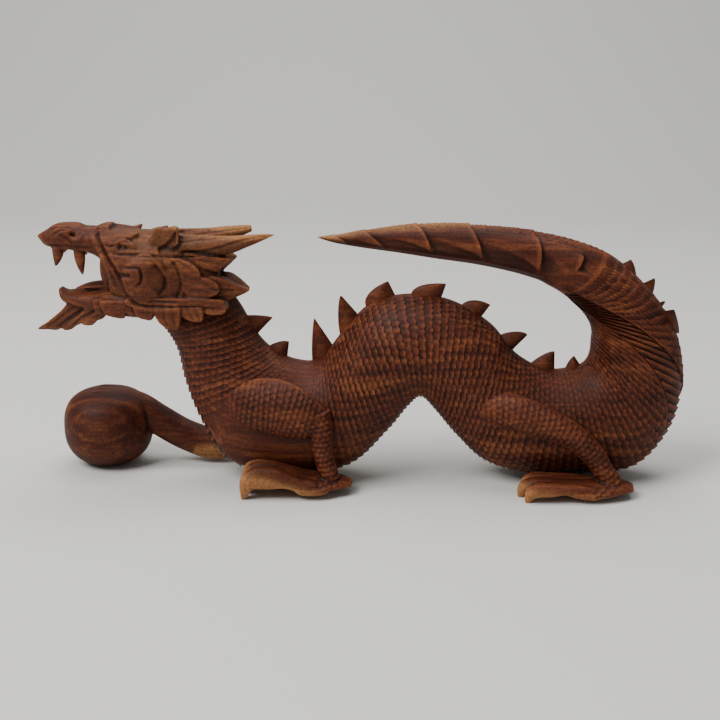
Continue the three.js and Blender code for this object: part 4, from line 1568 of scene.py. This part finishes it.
@dataclass(frozen=True)
class WaxedHardwood:
    """Dark reddish hardwood, hand carved with gouges, stained, waxed and rubbed.

    The wax gives a soft sheen, the stain lies dark in the cuts, and rubbed edges are warmer and
    lighter. The same dark mix also paints shade on the tail's lower facets, at the foot of its cuts
    and over the far foreleg and pearl. The block's outer wood, at its top and bottom, is paler.

    Attributes:
        grain_width: Width of a grain streak in millimetres.
        ring_width: Width of a year ring's band in millimetres.
        pore_width: Width of a pore in millimetres; real ones are about 0.2, which wouldn't show.
        mottle_width: Size of the blotches that the hand-rubbed stain leaves, in millimetres.
        roughness: Middle of the range that the grain's streaks spread it over.
        sheen_level: Strength of the wax's mirror share, 0.5 for bare varnish.
    """

    deep: str = "#170803"
    dark: str = "#34150a"
    middle: str = "#4c2012"
    light: str = "#6e3b20"
    sapwood: str = "#95653c"
    grain_width: float = 1.3
    ring_width: float = 6.0
    pore_width: float = 0.35
    mottle_width: float = 1.2
    roughness: float = 0.58
    sheen_level: float = 0.25

    def material(self) -> bpy.types.Material:
        """Makes the material.

        Streaks and bands stretched along the block make the wood's figure, the attributes of the
        pieces mix in the outer wood, the dark stain with its painted shade and the worn edges, and
        pores and blotches lie over all.

        Returns:
            The material.
        """
        material = bpy.data.materials.new("waxed_hardwood")
        material.use_nodes = True
        tree = material.node_tree
        tree.nodes.clear()
        place = add_node(tree, "TexCoord").outputs["Object"]
        grain_place = add_node(tree, "Mapping", None,
                               {"Vector": place, "Scale": (0.045, 1.0, 1.0), "Rotation": (0, 0.03, 0.04)})
        per_metre = 1000 / self.grain_width
        streaks = add_node(tree, "TexNoise", None, {
            "Vector": grain_place.outputs[0], "Scale": per_metre, "Detail": 5.0, "Roughness": 0.62,
            "Distortion": 0.35})
        bands = add_node(tree, "TexNoise", None, {
            "Vector": grain_place.outputs[0], "Scale": 1000 / self.ring_width, "Detail": 2.0,
            "Roughness": 0.5, "Distortion": 0.8})
        pores = add_node(tree, "TexNoise", None, {
            "Vector": grain_place.outputs[0], "Scale": 1000 / self.pore_width, "Detail": 1.0,
            "Roughness": 0.4})
        tone = add_node(tree, "Math", {"operation": "MULTIPLY_ADD"}, {
            0: streaks.outputs[0], 1: 0.62, 2: bands.outputs[0]})
        figure = add_node(tree, "MapRange", None, {
            "Value": tone.outputs[0], "From Min": 0.56, "From Max": 1.06})
        ramp = add_node(tree, "ValToRGB", None, {"Fac": figure.outputs[0]})
        stops = ramp.color_ramp.elements
        stops[0].position, stops[0].color = 0.0, linear(self.dark)
        stops[1].position, stops[1].color = 1.0, linear(self.light)
        middle = stops.new(0.5)
        middle.color = linear(self.middle)
        outer = add_node(tree, "Attribute", {"attribute_name": "outer_wood"})
        pale = add_node(tree, "Math", {"operation": "MULTIPLY_ADD", "use_clamp": True}, {
            0: figure.outputs[0], 1: 0.7, 2: -0.35})
        pale_edge = add_node(tree, "Math", {"operation": "ADD", "use_clamp": True}, {
            0: pale.outputs[0], 1: outer.outputs["Fac"]})
        pale_share = add_node(tree, "Math", {"operation": "MULTIPLY"}, {
            0: pale_edge.outputs[0], 1: outer.outputs["Fac"]})
        sap = add_node(tree, "Mix", {"data_type": "RGBA"}, {
            0: pale_share.outputs[0], 6: ramp.outputs[0], 7: linear(self.sapwood)})
        stain_and_painted_shade = add_node(tree, "Attribute", {"attribute_name": "stain_and_painted_shade"})
        # Darkens towards the deep colour: real stain in the grooves, and painted shade on the tail's lower
        # facets and the far foreleg.
        groove_stain_and_painted_shade = add_node(tree, "MapRange", None, {
            "Value": stain_and_painted_shade.outputs["Fac"], "From Min": 0.0, "From Max": 0.8, "To Max": 0.72})
        painted_shade_and_stain_mix = add_node(tree, "Mix", {"data_type": "RGBA"}, {
            0: groove_stain_and_painted_shade.outputs[0], 6: sap.outputs[2], 7: linear(self.deep)})
        worn = add_node(tree, "MapRange", None, {
            "Value": stain_and_painted_shade.outputs["Fac"], "From Min": 0.0, "From Max": -1.0, "To Max": 0.55})
        edges = add_node(tree, "Mix", {"data_type": "RGBA", "blend_type": "SCREEN"}, {
            0: worn.outputs[0], 6: painted_shade_and_stain_mix.outputs[2], 7: linear(self.light)})
        pore_mask = add_node(tree, "MapRange", None, {
            "Value": pores.outputs[0], "From Min": 0.36, "From Max": 0.24, "To Max": 0.6})
        blotches = add_node(tree, "TexNoise", None, {
            "Vector": place, "Scale": 1000 / self.mottle_width, "Detail": 2.0, "Roughness": 0.5})
        mottle = add_node(tree, "MapRange", None, {
            "Value": blotches.outputs[0], "From Min": 0.3, "From Max": 0.7,
            "To Min": 0.7, "To Max": 1.28})
        rubbed = add_node(tree, "Mix", {"data_type": "RGBA", "blend_type": "MULTIPLY"}, {
            0: 1.0, 6: edges.outputs[2], 7: mottle.outputs[0]})
        finish = add_node(tree, "Mix", {"data_type": "RGBA"}, {
            0: pore_mask.outputs[0], 6: rubbed.outputs[2], 7: linear(self.deep)})
        rough = add_node(tree, "MapRange", None, {
            "Value": streaks.outputs[0], "From Min": 0.3, "From Max": 0.7,
            "To Min": self.roughness - 0.07, "To Max": self.roughness + 0.09})
        bump = add_node(tree, "Bump", None, {
            "Strength": 0.5, "Distance": 0.0002, "Height": streaks.outputs[0]})
        shader = add_node(tree, "BsdfPrincipled", None, {
            "Base Color": finish.outputs[2], "Roughness": rough.outputs[0], "Normal": bump.outputs[0],
            "IOR": 1.42, "Specular IOR Level": self.sheen_level})
        add_node(tree, "OutputMaterial", None, {"Surface": shader.outputs[0]})
        return material


@dataclass(frozen=True)
class Studio:
    """A pale sweep, soft light from the upper left and a camera at the photograph's angle.

    Attributes:
        eye: The camera's place in millimetres in the frame.
        pitch: How far it looks down, in degrees.
        lens: Focal length in millimetres.
        sensor: Width of the camera's sensor in millimetres.
        floor: The sweep's colour.
        room: The colour of the light from all round.
        room_strength: Its strength.
        sweep_radius: Radius of the bend from floor to wall, in metres.
        sweep_back: How far behind the carving the bend starts, in metres.
        aim: The point in metres that the lights face.
    """

    eye: tuple[float, float, float] = (-0.75, -495.0, 189.1)
    pitch: float = 15.0
    lens: float = 55.0
    sensor: float = 36.0
    floor: str = "#d6d4cf"
    room: str = "#dfe3e6"
    room_strength: float = 0.32
    sweep_radius: float = 0.6
    sweep_back: float = 0.9
    aim: tuple[float, float, float] = (0, 0, 0.05)

    def camera(self) -> None:
        """Sets the camera."""
        data = bpy.data.cameras.new("camera")
        data.lens = self.lens
        data.sensor_width = self.sensor
        data.clip_start = 0.01
        camera = add_object("camera", data)
        camera.location = Vector(self.eye) / 1000
        camera.rotation_euler = (math.radians(90 - self.pitch), 0, 0)
        bpy.context.scene.camera = camera

    def sweep(self) -> bpy.types.Object:
        """Makes the floor, which curves up into a wall far behind the carving.

        Its profile is a straight floor, a quarter of a circle and a straight wall.

        Returns:
            The floor.
        """
        angle = np.linspace(0, np.pi / 2, 16)
        radius, back = self.sweep_radius, self.sweep_back
        y = np.concatenate([[-3.0], back + radius * np.sin(angle), [back + radius]])
        z = np.concatenate([[0.0], radius * (1 - np.cos(angle)), [3.0]])
        left = np.stack([np.full_like(y, -4.0), y, z], axis=-1)
        right = left * np.array([-1, 1, 1])
        count = len(y)
        step = np.arange(count - 1)
        faces = np.stack([step, step + count, step + count + 1, step + 1], axis=-1)
        mesh = bpy.data.meshes.new("floor")
        mesh.from_pydata(np.concatenate([left, right]).tolist(), [], faces.tolist())
        mesh.shade_smooth()
        material = bpy.data.materials.new("pale_paper")
        material.use_nodes = True
        shader = material.node_tree.nodes["Principled BSDF"]
        shader.inputs["Base Color"].default_value = linear(self.floor)
        shader.inputs["Roughness"].default_value = 0.75
        mesh.materials.append(material)
        sweep = add_object("floor", mesh)
        return sweep

    def light(self, name: str, place: tuple[float, float, float], size: float, power: float) -> None:
        """Adds a square soft light that faces the carving.

        Args:
            name: The light's name.
            place: Its place in metres.
            size: Its side in metres.
            power: Its power in watts.
        """
        data = bpy.data.lights.new(name, "AREA")
        data.size = size
        data.energy = power
        lamp = add_object(name, data)
        lamp.location = place
        way = Vector(self.aim) - Vector(place)
        lamp.rotation_euler = way.to_track_quat("-Z", "Y").to_euler()

    def build(self) -> None:
        """Sets the stage."""
        self.camera()
        self.sweep()
        self.light("window", (-0.8, -0.6, 1.2), 0.8, 24.0)
        self.light("ceiling", (0.1, 0.3, 1.5), 1.2, 18.0)
        world = bpy.data.worlds.new("room")
        world.use_nodes = True
        background = world.node_tree.nodes["Background"]
        background.inputs["Color"].default_value = linear(self.room)
        background.inputs["Strength"].default_value = self.room_strength
        bpy.context.scene.world = world


def main() -> None:
    """Builds the carving and its stage."""
    logging.basicConfig(level=logging.INFO, format="%(message)s")
    Studio().build()
    wood = WaxedHardwood().material()
    ladder = Ladder()
    body = Body(ladder, Locks())
    trunk = body.build()
    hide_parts("dragon")
    pieces = [trunk, body.build_tail(), Spines(ladder).build(), Head().build(), *Legs().build()]
    for piece in pieces:
        piece.data.materials.append(wood)
        log.info("made %s", piece.name)


if __name__ == "__main__":
    main()
